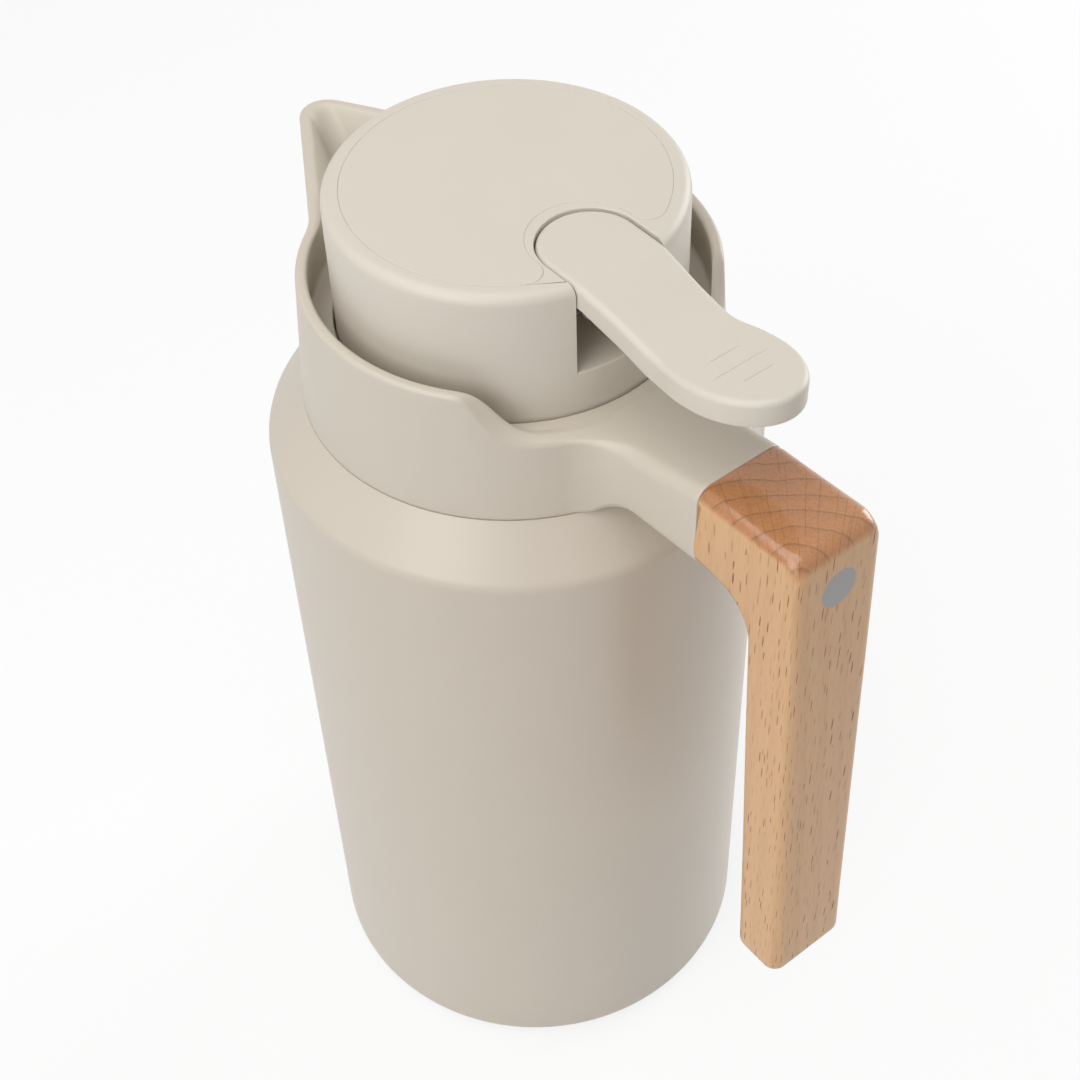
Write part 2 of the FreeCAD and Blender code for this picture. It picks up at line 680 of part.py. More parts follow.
def stopper_cup():
    inner = CUP_R - CUP_WALL
    floor_top = CUP_FLOOR_Z + CUP_FLOOR_THICK
    groove = CUP_R - GASKET_GROOVE
    return turned([
        (PORT_R, CUP_FLOOR_Z),
        (CUP_R, CUP_FLOOR_Z, CUP_ROUND),
        (CUP_R, GASKET_Z),
        (groove, GASKET_Z),
        (groove, GASKET_Z + GASKET_H),
        (CUP_R, GASKET_Z + GASKET_H),
        (CUP_R, LID_FOOT_Z),
        (CUP_FLANGE_R, LID_FOOT_Z),
        (CUP_FLANGE_R, CUP_TOP_Z),
        (inner, CUP_TOP_Z),
        (inner, floor_top),
        (PORT_R, floor_top),
    ])


def stopper_gasket():
    inner = CUP_R - GASKET_GROOVE + GASKET_PLAY / 2
    outer = FLASK_NECK_R - FLASK_WALL - GASKET_PLAY
    z0 = GASKET_Z + GASKET_PLAY
    z1 = GASKET_Z + GASKET_H - GASKET_PLAY
    return turned([(inner, z0), (outer, z0, GASKET_ROUND), (outer, z1, GASKET_ROUND), (inner, z1)])


WASHER_Z = CUP_FLOOR_Z + CUP_FLOOR_THICK + VALVE_GAP
VALVE_PLATE_Z = WASHER_Z + WASHER_THICK
VALVE_HUB_Z = VALVE_PLATE_Z + VALVE_PLATE_THICK
SEAT_Z = BOSS_FOOT_Z - SEAT_THICK


def valve_washer():
    return turned([
        (WASHER_BORE_R, WASHER_Z),
        (WASHER_R, WASHER_Z, WASHER_ROUND),
        (WASHER_R, VALVE_PLATE_Z, WASHER_ROUND),
        (WASHER_BORE_R, VALVE_PLATE_Z),
    ])


def valve_plate():
    return turned([
        (VALVE_PLATE_BORE_R, VALVE_PLATE_Z),
        (VALVE_PLATE_R, VALVE_PLATE_Z, VALVE_PLATE_ROUND),
        (VALVE_PLATE_R, VALVE_HUB_Z, VALVE_PLATE_ROUND),
        (VALVE_PLATE_BORE_R, VALVE_HUB_Z),
    ])


def valve_nut():
    corners = []
    for i in range(6):
        angle = math.radians(60 * i)
        corners.append((NUT_R * math.cos(angle), NUT_R * math.sin(angle)))
    body = rounded_face(corners, in_plan(WASHER_Z - NUT_H)).extrude(Vector(0, 0, NUT_H))
    return body.cut(disc(STEM_THREAD_R, WASHER_Z - NUT_H, WASHER_Z))


def valve_stem():
    body = turned([
        (0, WASHER_Z - NUT_H - STEM_END),
        (STEM_THREAD_R, WASHER_Z - NUT_H - STEM_END),
        (STEM_THREAD_R, VALVE_HUB_Z),
        (STEM_R, VALVE_HUB_Z),
        (STEM_R, STEM_TOP_Z, STEM_ROUND),
        (0, STEM_TOP_Z),
    ])
    return body.cut(cross_bar(LINK_PIN_R, STEM_R + 1, 0, LINK_Z))


def link_pin():
    return cross_bar(LINK_PIN_R, LINK_PIN_HALF, 0, LINK_Z)


def stem_seal():
    z = BOSS_FOOT_Z + SEAL_CORD_R + SEAL_PLAY
    return Part.makeTorus(SEAL_RING_R, SEAL_CORD_R, Vector(0, 0, z), UP)


def spring_seat():
    return ring(STEM_R + SEAT_PLAY, BOSS_R, SEAT_Z, BOSS_FOOT_Z)


def valve_spring():
    foot = VALVE_HUB_Z + SPRING_WIRE_R
    length = SEAT_Z - SPRING_WIRE_R - foot
    helix = Part.makeHelix(length / SPRING_TURNS, length, SPRING_R)
    section = Part.Wire(Part.Circle(Vector(SPRING_R, 0, 0), Vector(0, 1, 0), SPRING_WIRE_R).toShape())
    coil = Part.Wire(helix.Edges).makePipeShell([section], True, True)
    coil.translate(Vector(0, 0, foot))
    return coil


PIECES = [
    outer_shell, inner_flask, base_plate, base_pad, getter,
    spout_collar, neck_gasket, handle_insert, handle_grip, handle_screw, screw_plug,
    lid_body, lid_panel, stopper_cup, stopper_gasket, spring_seat, stem_seal, lever_pin,
    lever, valve_stem, valve_plate, valve_washer, valve_nut, link_pin, valve_spring,
]

os.makedirs("parts", exist_ok=True)
for piece in PIECES:
    shape = piece()
    shape.exportStep("parts/" + piece.__name__ + ".step")
    print(piece.__name__, shape.ShapeType, len(shape.Solids), shape.isValid(), round(shape.Volume, 1))
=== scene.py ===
"""Looks of a thermal jug: painted steel body, moulded collar and stopper, thumb lever and beech grip."""

import math

import bmesh
import bpy
import numpy as np
from bpy.props import FloatProperty, FloatVectorProperty, PointerProperty
from bpy.types import Operator, Panel, PropertyGroup
from mathutils import Matrix, Vector


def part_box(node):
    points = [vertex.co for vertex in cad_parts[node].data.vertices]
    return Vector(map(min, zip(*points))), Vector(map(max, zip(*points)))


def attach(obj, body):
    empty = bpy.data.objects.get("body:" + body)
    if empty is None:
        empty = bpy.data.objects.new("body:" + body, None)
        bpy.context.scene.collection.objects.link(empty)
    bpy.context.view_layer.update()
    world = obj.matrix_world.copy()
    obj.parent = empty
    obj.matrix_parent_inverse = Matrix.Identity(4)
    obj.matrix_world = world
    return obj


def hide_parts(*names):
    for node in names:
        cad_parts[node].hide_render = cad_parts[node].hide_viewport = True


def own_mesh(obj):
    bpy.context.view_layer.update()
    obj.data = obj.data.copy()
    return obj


bl_info = {
    "name": "Thermal jug",
    "version": (1, 0, 0),
    "blender": (4, 5, 0),
    "location": "3D View > Sidebar > Jug",
    "description": "Builds the skin and finishes of a thermal jug around its packed parts",
    "category": "Add Mesh",
}

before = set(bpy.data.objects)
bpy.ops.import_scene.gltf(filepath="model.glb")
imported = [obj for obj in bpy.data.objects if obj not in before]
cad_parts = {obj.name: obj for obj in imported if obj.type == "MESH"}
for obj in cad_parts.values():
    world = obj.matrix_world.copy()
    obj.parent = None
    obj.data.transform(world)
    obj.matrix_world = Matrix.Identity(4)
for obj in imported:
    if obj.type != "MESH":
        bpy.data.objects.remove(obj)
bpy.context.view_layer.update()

MM = 0.001
TURN = 2 * math.pi
MIRROR = np.array([1.0, -1.0, 1.0])
WHITE = (1.0, 1.0, 1.0, 1.0)

# Points closer than this are one, in metres
WELD = 2e-6

# Edges with a larger angle stay sharp
SMOOTH_ANGLE = math.radians(32)


def node_box(node):
    """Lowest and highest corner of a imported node, in millimetres."""
    low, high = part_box(node)
    return np.array(low) / MM, np.array(high) / MM


SHELL_LOW, SHELL_HIGH = node_box("outer_shell")
FLASK_LOW, FLASK_HIGH = node_box("inner_flask")
COLLAR_LOW, COLLAR_HIGH = node_box("spout_collar")
GRIP_LOW, GRIP_HIGH = node_box("handle_grip")
LID_LOW, LID_HIGH = node_box("lid_body")
PANEL_LOW, PANEL_HIGH = node_box("lid_panel")
LEVER_LOW, LEVER_HIGH = node_box("lever")
COIL_LOW, COIL_HIGH = node_box("valve_spring")


def linear(*levels):
    """Colour given in display levels from 0 to 255, as the linear values that a shader takes."""
    share = np.array(levels) / 255
    low = share / 12.92
    high = ((share + 0.055) / 1.055) ** 2.4
    return tuple(float(x) for x in np.where(share <= 0.04045, low, high))


def millimetres(name, description, default):
    """Length that the sidebar shows, in millimetres."""
    return FloatProperty(name=name, description=description + ", in millimetres", default=float(default))


def degrees(name, description, default):
    """Angle that the sidebar shows in degrees."""
    return FloatProperty(name=name, description=description, default=math.radians(default), subtype="ANGLE")


def colour(name, description, *levels):
    """Colour that the sidebar shows as a swatch."""
    return FloatVectorProperty(name=name, description=description, default=linear(*levels),
                               subtype="COLOR", size=3, min=0.0, max=1.0)


# Sizes and finishes that a user would change

class BodySizes(PropertyGroup):
    radius: millimetres("Radius", "Outside radius of the straight body", SHELL_HIGH[0])
    wall: millimetres("Wall", "Thickness of the body's sheet", 0.8)
    foot_z: millimetres("Foot", "Height of the body's turned-in foot", SHELL_LOW[2])
    lip_r: millimetres("Lip radius", "Radius where the foot's lip ends", 50.0)
    base_round: millimetres("Base round", "Radius between the side and the foot", 4.6)
    shoulder_z: millimetres("Shoulder height", "Height where the side turns into the shoulder", 190.7)
    shoulder_round: millimetres("Shoulder round", "Radius between the side and the shoulder", 4.6)
    neck_r: millimetres("Neck radius", "Outside radius of the hidden neck", 40.6)
    neck_top: millimetres("Neck top", "Height of the hidden neck", SHELL_HIGH[2])


class FlaskSizes(PropertyGroup):
    radius: millimetres("Radius", "Outside radius of the liner", FLASK_HIGH[0])
    wall: millimetres("Wall", "Thickness of the liner's sheet", 0.6)
    foot_z: millimetres("Foot", "Height of the liner's floor", FLASK_LOW[2])
    foot_round: millimetres("Foot round", "Radius between the liner's floor and side", 12.0)
    shoulder_z: millimetres("Shoulder height", "Height where the liner turns inwards", 183.5)
    neck_r: millimetres("Neck radius", "Outside radius of the liner's neck", 37.9)
    neck_z: millimetres("Neck height", "Height where the liner's neck starts", 199.0)
    top_z: millimetres("Top", "Height of the liner's flared rim", FLASK_HIGH[2])


class CollarSizes(PropertyGroup):
    foot_r: millimetres("Foot radius", "Outside radius on the shoulder", 48.3)
    foot_z: millimetres("Foot height", "Height of the collar's foot", COLLAR_LOW[2])
    rim_r: millimetres("Rim radius", "Outside radius at the rim", 46.1)
    rim_z: millimetres("Rim height", "Height of the rim", COLLAR_HIGH[2])
    wall: millimetres("Wall", "Thickness of the rim", 2.7)
    rim_round: millimetres("Rim round", "Radius on the rim's edges", 0.95)
    ledge_z: millimetres("Ledge height", "Height of the ledge round the stopper", 222.2)
    ledge_thick: millimetres("Ledge thickness", "Thickness of the ledge", 4.8)
    bore_r: millimetres("Bore", "Radius of the hole for the stopper", 39.15)
    apex: millimetres("Spout apex", "Distance from the axis to the sharp point of the spout's V", 83.5)
    half_angle: degrees("Spout half angle", "Half of the angle of the spout's V", 30.5)
    tip_round: millimetres("Tip round", "Radius at the spout's tip, seen from above", 6.6)
    flare: millimetres("Spout flare", "Radius where the spout's sides leave the collar", 15.0)
    dip_start: degrees("Dip start", "Angle from the handle where the rim starts to fall", 55.0)
    dip_half: degrees("Dip half way", "Angle on from there where the rim's outer edge is half down", 10.2)
    dip_lag: degrees("Dip lag", "Angle by which the rim's inner edge starts later", 0.5)
    dip_half_in: degrees("Inner half way", "Angle on from there where the inner edge is half down", 14.7)
    dip_power: FloatProperty(name="Dip power", description="Steepness of the rim's fall", default=4.0)


class ArmSizes(PropertyGroup):
    end_x: millimetres("End", "Where the arm meets the grip", GRIP_LOW[0])
    half_width: millimetres("Half width", "Half of the arm's width at the grip", GRIP_HIGH[1])
    taper: FloatProperty(name="Taper", description="Half width gained per length towards the collar",
                         default=0.045)
    root_run: millimetres("Root run", "Length over which the arm widens towards the collar", 18.0)
    flare: millimetres("Flare", "Radius of the flare between the collar and the arm", 14.0)
    end_top: millimetres("End top", "Height of the arm's top at the grip", 226.9)
    foot_z: millimetres("Foot", "Height of the arm's underside", 205.0)
    edge_round: millimetres("Edge round", "Radius on the arm's long edges", 3.6)


class GripSizes(PropertyGroup):
    back_top_z: millimetres("Top", "Height of the grip's top at its back", GRIP_HIGH[2])
    back_top_x: millimetres("Back", "Where the back face meets the top", 101.85)
    lean: FloatProperty(name="Lean", description="Slope of the grip's back face", default=0.0433)
    thick: millimetres("Thickness", "Thickness of the hanging leg", 13.9)
    under_z: millimetres("Underside", "Height of the grip's underside at the arm", 205.7)
    foot_z: millimetres("Foot", "Height of the grip's foot", 89.0)
    inner_round: millimetres("Inner round", "Radius in the inner corner", 12.0)
    corner_round: millimetres("Corner round", "Radius on the outer corner", 4.2)
    edge_round: millimetres("Edge round", "Radius on the long edges", 3.5)
    screw_z: millimetres("Screw height", "Height of the screw's plug", 215.5)
    plug_r: millimetres("Plug radius", "Radius of the screw's plug", 4.9)


class LidSizes(PropertyGroup):
    radius: millimetres("Radius", "Radius of the lid's drum", LID_HIGH[1])
    foot_z: millimetres("Foot", "Height of the drum's lower edge", LID_LOW[2])
    top_z: millimetres("Top", "Height of the drum's top", LID_HIGH[2])
    top_round: millimetres("Top round", "Radius on the drum's upper edge", 2.5)
    wall: millimetres("Wall", "Thickness of the drum's wall", 2.35)
    floor_z: millimetres("Floor", "Height of the floor of the lever's slot", 232.5)
    floor_thick: millimetres("Floor thickness", "Thickness of the lid's floor", 2.0)
    slot_half: millimetres("Slot half width", "Half width of the lever's slot", 11.4)
    slot_x: millimetres("Slot centre", "Where the round end of the slot has its centre", 27.7)
    slot_edge: millimetres("Slot edge", "Radius on the slot's upper edge", 0.3)
    gate_half: millimetres("Gate half width", "Half width of the gate for the lever's tongue", 6.2)
    gate_low: millimetres("Gate sill", "Height of the gate's sill", 234.5)
    gate_high: millimetres("Gate head", "Height of the gate's head", 251.8)
    window_half: millimetres("Window half width", "Half width of the pouring window", 13.0)
    window_low: millimetres("Window sill", "Height of the window's sill", 222.6)
    window_high: millimetres("Window head", "Height of the window's head", 229.6)
    boss_r: millimetres("Boss radius", "Radius of the boss round the stem", 6.5)
    boss_z: millimetres("Boss foot", "Height of the boss's foot", 226.0)
    stem_hole: millimetres("Stem hole", "Radius of the hole for the stem", 2.56)
    panel_r: millimetres("Panel radius", "Radius of the panel in the top", PANEL_HIGH[1])
    panel_thick: millimetres("Panel thickness", "Thickness of the panel", PANEL_HIGH[2] - PANEL_LOW[2])
    panel_gap: millimetres("Panel gap", "Gap round the panel", 0.025)
    panel_break: millimetres("Panel edge", "Radius on the edges at the gap", 0.14)
    notch_half: millimetres("Notch half width", "Half width of the panel's notch", 12.06)
    notch_x: millimetres("Notch centre", "Where the round end of the notch has its centre", 25.7)
    notch_flare: millimetres("Notch flare", "Radius on the notch's outer corners", 4.0)


class CoilSizes(PropertyGroup):
    radius: millimetres("Radius", "Radius of the closing spring's coil", 5.2)
    wire_r: millimetres("Wire radius", "Radius of the spring's wire", 0.45)
    turns: FloatProperty(name="Turns", description="Turns of the spring", default=7.0)
    stroke: millimetres("Stroke", "How far the valve shortens the spring", 5.8)


class LeverSizes(PropertyGroup):
    end_x: millimetres("End centre", "Where the round inner end has its centre", 27.7)
    end_r: millimetres("End radius", "Radius of the inner end", 11.1)
    pad_x: millimetres("Pad centre", "Where the pad is widest", 70.0)
    pad_half: millimetres("Pad half width", "Half width of the pad", LEVER_HIGH[1])
    tip_x: millimetres("Tip", "Where the pad ends", LEVER_HIGH[0])
    waist: millimetres("Waist", "Half width of the waist", 10.3)
    waist_start: millimetres("Waist start", "Where the sides start to draw in", 34.0)
    waist_x: millimetres("Waist place", "Where the sides are drawn in", 52.0)
    flare_x: millimetres("Flare start", "Where the pad starts to widen", 58.0)
    flare_end: millimetres("Flare end", "Where the pad has its full width", 68.0)
    top_z: millimetres("Top", "Height of the flat part", LEVER_HIGH[2])
    bend_x: millimetres("Bend", "Where the flat part bends down", 38.0)
    bend_round: millimetres("Bend round", "Radius of that bend", 11.0)
    low_x: millimetres("Low bend", "Where the lever turns up again", 58.4)
    low_z: millimetres("Low height", "Height of the sharp corner at the low bend", 250.2)
    low_round: millimetres("Low round", "Radius of the low bend", 20.0)
    tip_z: millimetres("Tip height", "Height of the pad's top at its tip", 254.6)
    skirt: millimetres("Skirt", "Height of the side skirt", 6.2)
    skirt_root: millimetres("Skirt at the lid", "Height of the side skirt over the lid", 5.6)
    wall: millimetres("Wall", "Thickness of the skirt", 2.0)
    edge_round: millimetres("Edge round", "Radius on the upper edge", 1.5)
    lip_round: millimetres("Lip round", "Radius on the skirt's lower edge", 0.5)
    ridge_half: millimetres("Ridge half width", "Half width of a thumb ridge", 0.38)
    ridge_rise: millimetres("Ridge height", "Height of a thumb ridge", 0.26)
    hinge_x: millimetres("Hinge place", "Where the hinge pin is", 33.0)
    hinge_z: millimetres("Hinge height", "Height of the hinge pin", 245.0)
    hinge_hole: millimetres("Hinge hole", "Radius of the hinge's hole", 1.35)
    hub_r: millimetres("Hub radius", "Radius of the hinge's hub", 3.2)
    hub_half: millimetres("Hub half width", "Half width of the hinge's hub", 6.0)
    link_z: millimetres("Link height", "Height of the pin through the stem", 240.0)
    tongue_half: millimetres("Tongue half width", "Half width of the hidden tongue", 5.5)
    tongue_tall: millimetres("Tongue height", "Height of the hidden tongue", 7.0)
    tongue_tip: millimetres("Tongue tip", "Where the hidden fork ends", LEVER_LOW[0])
    fork_half: millimetres("Fork half gap", "Half of the gap between the prongs", 2.9)


class JugFinish(PropertyGroup):
    body: colour("Body paint", "Satin paint of the steel body", 200, 190, 176)
    collar: colour("Collar", "Moulded collar and arm", 202, 193, 179)
    lid: colour("Lid", "Moulded lid, panel and lever", 210, 202, 189)
    wood_light: colour("Beech", "Pale part of the beech", 214, 172, 128)
    wood_dark: colour("Beech rings", "Late wood of the beech", 194, 146, 98)
    wood_end: colour("Beech end grain", "Tone of the end grain", 174, 118, 72)
    wood_fleck: colour("Beech flecks", "Rays of the beech", 122, 70, 32)
    plug: colour("Plug", "Plastic cap over the screw", 164, 160, 161)
    steel: colour("Steel", "Brushed steel", 196, 194, 190)
    brass: colour("Brass", "Turned brass", 206, 170, 96)
    silicone: colour("Silicone", "Seals and foot", 176, 172, 166)


class StageSettings(PropertyGroup):
    centre: FloatVectorProperty(name="Camera", description="Place of the camera", subtype="TRANSLATION",
                                default=(0.2586, -0.1888, 0.4860), unit="LENGTH")
    target: FloatVectorProperty(name="Target", description="Point that the camera looks at",
                                subtype="TRANSLATION", default=(0.00255, 0.00343, 0.14498), unit="LENGTH")
    roll: degrees("Roll", "Tilt of the camera about its own axis", -2.22)
    lens: FloatProperty(name="Lens", description="Focal length on a 36 mm sensor", default=62.38)
    key: FloatProperty(name="Key light", description="Power of the large light on the left", default=5.6)
    rim: FloatProperty(name="Rim light", description="Power of the light behind on the right", default=7.5)
    top: FloatProperty(name="Top light", description="Power of the overhead light", default=12.0)
    world: FloatProperty(name="Room light", description="Strength of the white room", default=0.19)


# Surfaces

def spaced(low, high, count, weight):
    """Positions from low to high, closer together where weight is larger: the inverse of its running sum."""
    samples = 20 * count
    fine = np.linspace(low, high, samples)
    total = np.concatenate([[0], np.cumsum(weight((fine[1:] + fine[:-1]) / 2))])
    return np.interp(np.linspace(0, total[-1], count), total, fine)


def smooth_step(x, low, high):
    """0 below low, 1 above high and t^2 (3 - 2 t) between them."""
    t = np.clip((x - low) / (high - low), 0, 1)
    return t * t * (3 - 2 * t)


def smooth_max(a, b, width):
    """Larger of two values with the corner rounded over a width: max + (width - |a - b|)^2 / (4 width)."""
    near = np.maximum(width - np.abs(a - b), 0)
    return np.maximum(a, b) + near ** 2 / (4 * width)


def even_turn(steps):
    """Angles of a whole turn in even steps, without its end."""
    return np.arange(steps) * TURN / steps


def quarter_turn(steps):
    """Angles of a quarter turn in even steps, with its end."""
    return np.linspace(0, TURN / 4, steps + 1)


def corner_line(corners, steps=10):
    """Line through corners (a, b) or (a, b, r).

    A corner with r is an arc that starts r / tan(half angle) before it.
    """
    runs = []
    for i, corner in enumerate(corners):
        here = np.array(corner[:2], float)
        if len(corner) == 2:
            runs.append(here[None])
            continue
        back = np.array(corners[i - 1][:2]) - here
        ahead = np.array(corners[i + 1][:2]) - here
        back = back / np.linalg.norm(back)
        ahead = ahead / np.linalg.norm(ahead)
        half = math.acos(np.clip(back @ ahead, -1, 1)) / 2
        radius = corner[2]
        middle = back + ahead
        centre = here + middle / np.linalg.norm(middle) * radius / math.sin(half)
        first = here + back * radius / math.tan(half) - centre
        side = math.copysign(1, back[1] * ahead[0] - back[0] * ahead[1])
        angle = side * np.linspace(0, math.pi - 2 * half, steps + 1)[:, None]
        across = np.array([-first[1], first[0]])
        runs.append(centre + first * np.cos(angle) + across * np.sin(angle))
    return np.vstack(runs)


def offset_line(line, distance):
    """Line moved to its left by a distance.

    Its corners are mitred: each point moves along the mean of its two normals.
    """
    way = np.diff(line, axis=0)
    way = way / np.linalg.norm(way, axis=1)[:, None]
    normal = np.stack([-way[:, 1], way[:, 0]], axis=1)
    before = np.vstack([normal[:1], normal])
    after = np.vstack([normal, normal[-1:]])
    mitre = before + after
    return line + distance * mitre / np.sum(mitre * before, axis=1)[:, None]


def sheet_line(corners, wall):
    """Closed outline of a bent sheet: the outside line, and the same line moved in by the wall, run back."""
    outside = corner_line(corners)
    return np.vstack([outside, offset_line(outside, wall)[::-1]])


def round_axis(r, z, angle):
    """Grid (r cos t, r sin t, z): a row for each angle t, and a column for each radius and height."""
    x = r * np.cos(angle)[:, None]
    y = r * np.sin(angle)[:, None]
    return np.stack([x, y, np.broadcast_to(z, x.shape)], axis=-1)


def turned(line, steps):
    """Grid of a line (r, z) turned about the Z axis."""
    return round_axis(line[:, 0], line[:, 1], even_turn(steps))


def arc(centre_x, centre_y, radius, first, last, count):
    """Points (x, y) of an arc from one angle to another."""
    angle = np.linspace(first, last, count)
    return np.stack([centre_x + radius * np.cos(angle), centre_y + radius * np.sin(angle)], axis=1)


def at_height(plan, z):
    """Points (x, y, z) over points of a plan."""
    return np.column_stack([plan, np.broadcast_to(z, len(plan))])


def mirrored(half):
    """Closed loop of columns from its half at y > 0, whose first and last columns lie on y = 0."""
    return np.concatenate([half, half[-2:0:-1] * MIRROR])


def rounded_boxes(half_width, low, high, radius, steps=6):
    """Closed sections: rounded rectangles |a| < half_width, low < b < high.

    There is one section for each entry of the arrays.
    """
    angle = (quarter_turn(steps)[None, :] + (np.arange(4) * TURN / 4)[:, None]).ravel()
    quarter = np.repeat(np.arange(4), steps + 1)
    sign_a = np.where((quarter == 0) | (quarter == 3), 1.0, -1.0)
    top = quarter < 2
    column = [np.asarray(v, float)[:, None] for v in (half_width, low, high, radius)]
    half, low, high, radius = column
    a = sign_a * (half - radius) + radius * np.cos(angle)
    b = np.where(top, high - radius, low + radius) + radius * np.sin(angle)
    return a, b


def with_poles(grid):
    """Loft with both ends closed by the middle point of its end section."""
    first = np.broadcast_to(grid[0].mean(axis=0), grid[0].shape)
    last = np.broadcast_to(grid[-1].mean(axis=0), grid[-1].shape)
    return np.concatenate([first[None], grid, last[None]])


def bar(x0, x1, y0, y1, z0, z1, edge=0.3):
    """Box with rounded long edges, as a loft along X."""
    x = np.array([x0, x1])
    even = np.ones(2)
    a, b = rounded_boxes(even * (y1 - y0) / 2, even * z0, even * z1, even * edge, steps=3)
    return with_poles(np.stack([np.broadcast_to(x[:, None], a.shape), a + (y0 + y1) / 2, b], axis=-1))


class Skin:
    """Collects grids of points in millimetres, welds them where they meet and makes one smooth mesh."""

    def __init__(self, name):
        self.name = name
        self.points = []
        self.quads = []
        self.count = 0

    def add(self, grid, wrap_rows=False, wrap_columns=False, leave_out=None):
        """Adds a grid of shape (rows, columns, 3).

        Wrapping joins its last row or column to its first. Faces whose four corners are all marked in
        leave_out are holes.
        """
        rows, columns = grid.shape[:2]
        index = np.arange(rows * columns).reshape(rows, columns) + self.count
        if wrap_rows:
            index = np.vstack([index, index[:1]])
        if wrap_columns:
            index = np.hstack([index, index[:, :1]])
        corners = (index[:-1, :-1], index[1:, :-1], index[1:, 1:], index[:-1, 1:])
        quads = np.stack(corners, axis=-1).reshape(-1, 4)
        if leave_out is not None:
            quads = quads[~np.all(leave_out.ravel()[quads - self.count], axis=1)]
        self.quads.append(quads)
        self.points.append(grid.reshape(-1, 3))
        self.count += rows * columns
        return self

    def make(self, body, slot, *nodes):
        """Makes the object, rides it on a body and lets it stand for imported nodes."""
        mesh = bpy.data.meshes.new(self.name)
        points = np.vstack(self.points) * MM
        quads = np.vstack(self.quads)
        mesh.vertices.add(len(points))
        mesh.vertices.foreach_set("co", points.astype(np.float32).ravel())
        mesh.loops.add(quads.size)
        mesh.loops.foreach_set("vertex_index", quads.astype(np.int32).ravel())
        mesh.polygons.add(len(quads))
        mesh.polygons.foreach_set("loop_start", np.arange(0, quads.size, 4, dtype=np.int32))
        mesh.update(calc_edges=True)
        return dress(self.name, mesh, body, nodes)


def dress(name, mesh, body, nodes):
    """Welds a mesh, turns its faces outwards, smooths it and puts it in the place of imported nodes."""
    work = bmesh.new()
    work.from_mesh(mesh)
    bmesh.ops.remove_doubles(work, verts=work.verts, dist=WELD)
    bmesh.ops.dissolve_degenerate(work, edges=work.edges, dist=WELD / 2)
    bmesh.ops.recalc_face_normals(work, faces=work.faces)
    work.to_mesh(mesh)
    work.free()
    mesh.validate()
    mesh.polygons.foreach_set("use_smooth", np.ones(len(mesh.polygons), bool))
    mesh.set_sharp_from_angle(angle=SMOOTH_ANGLE)
    piece = bpy.data.objects.new(name, mesh)
    bpy.context.scene.collection.objects.link(piece)
    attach(piece, body)
    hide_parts(*nodes)
    return piece


# Shader maths

class Value:
    """A socket, so that Python expressions on it add Math nodes to its tree."""

    def __init__(self, tree, socket):
        self.tree = tree
        self.socket = socket

    def node(self, kind, settings=None, inputs=None, output=0):
        """Adds a node, sets its settings and its sockets' values or links, and gives one of its outputs."""
        added = self.tree.nodes.new(kind)
        for name, setting in (settings or {}).items():
            setattr(added, name, setting)
        for name, value in (inputs or {}).items():
            plug_in(added.inputs[name], value)
        return Value(self.tree, added.outputs[output])

    def maths(self, operation, *others, clamp=False):
        """Math node on this value and up to two more."""
        return self.node("ShaderNodeMath", {"operation": operation, "use_clamp": clamp},
                         dict(enumerate((self,) + others)))

    def __add__(self, other):
        return self.maths("ADD", other)

    __radd__ = __add__

    def __mul__(self, other):
        return self.maths("MULTIPLY", other)

    __rmul__ = __mul__

    def __sub__(self, other):
        return self.maths("SUBTRACT", other)

    def __rsub__(self, other):
        return self.node("ShaderNodeMath", {"operation": "SUBTRACT"}, {0: other, 1: self})

    def __truediv__(self, other):
        return self.maths("DIVIDE", other)

    def __pow__(self, other):
        return self.maths("POWER", other)

    def __abs__(self):
        return self.maths("ABSOLUTE")

    def between(self, low, high):
        """Smooth step from 0 at low to 1 at high."""
        return self.node("ShaderNodeMapRange", {"interpolation_type": "SMOOTHSTEP"},
                         {"Value": self, "From Min": low, "From Max": high})

    def hump(self, low, peak, high):
        """Smooth rise from 0 at low to 1 at the peak, and a smooth fall to 0 at high."""
        return self.between(low, peak) * (1 - self.between(peak, high))

    def swing(self, amount):
        """This noise about its middle, times an amount."""
        return amount * (self - 0.5)

    def parts(self):
        """The three numbers of a vector."""
        split = self.node("ShaderNodeSeparateXYZ", None, {0: self})
        return [Value(self.tree, output) for output in split.socket.node.outputs]

    def vector(self, x, y, z):
        """Vector of three values."""
        return self.node("ShaderNodeCombineXYZ", None, {0: x, 1: y, 2: z})

    def stretched(self, *factors):
        """This vector with each of its three numbers multiplied."""
        return self.node("ShaderNodeVectorMath", {"operation": "MULTIPLY"}, {0: self, 1: factors})

    def noise(self, scale, detail=3.0, roughness=0.55):
        """Noise in space, from 0 to 1, on this vector."""
        return self.node("ShaderNodeTexNoise", None,
                         {"Vector": self, "Scale": scale, "Detail": detail, "Roughness": roughness})

    def mix(self, first, second):
        """Colour between two colours, by this value."""
        mixed = self.node("ShaderNodeMix", {"data_type": "RGBA"}, {0: self, 6: first, 7: second})
        return Value(self.tree, mixed.socket.node.outputs[2])

    def shades(self, tone, dark, light):
        """Colour from a dark to a light shade of a tone, by this value."""
        return self.mix(shaded(tone, dark), shaded(tone, light))

    def bump(self, distance):
        """Normal of a surface raised by this height, times a distance."""
        return self.node("ShaderNodeBump", None, {"Height": self, "Distance": distance, "Strength": 1.0})


def plug_in(socket, value):
    """Sets a socket to a plain value, or links it to a Value."""
    if isinstance(value, Value):
        value.tree.links.new(value.socket, socket)
    else:
        socket.default_value = value


def feed(shader, **inputs):
    """Sets or links sockets of a shader, whose names have spaces for underscores."""
    for name, value in inputs.items():
        plug_in(shader.inputs[name.replace("_", " ")], value)


# Materials

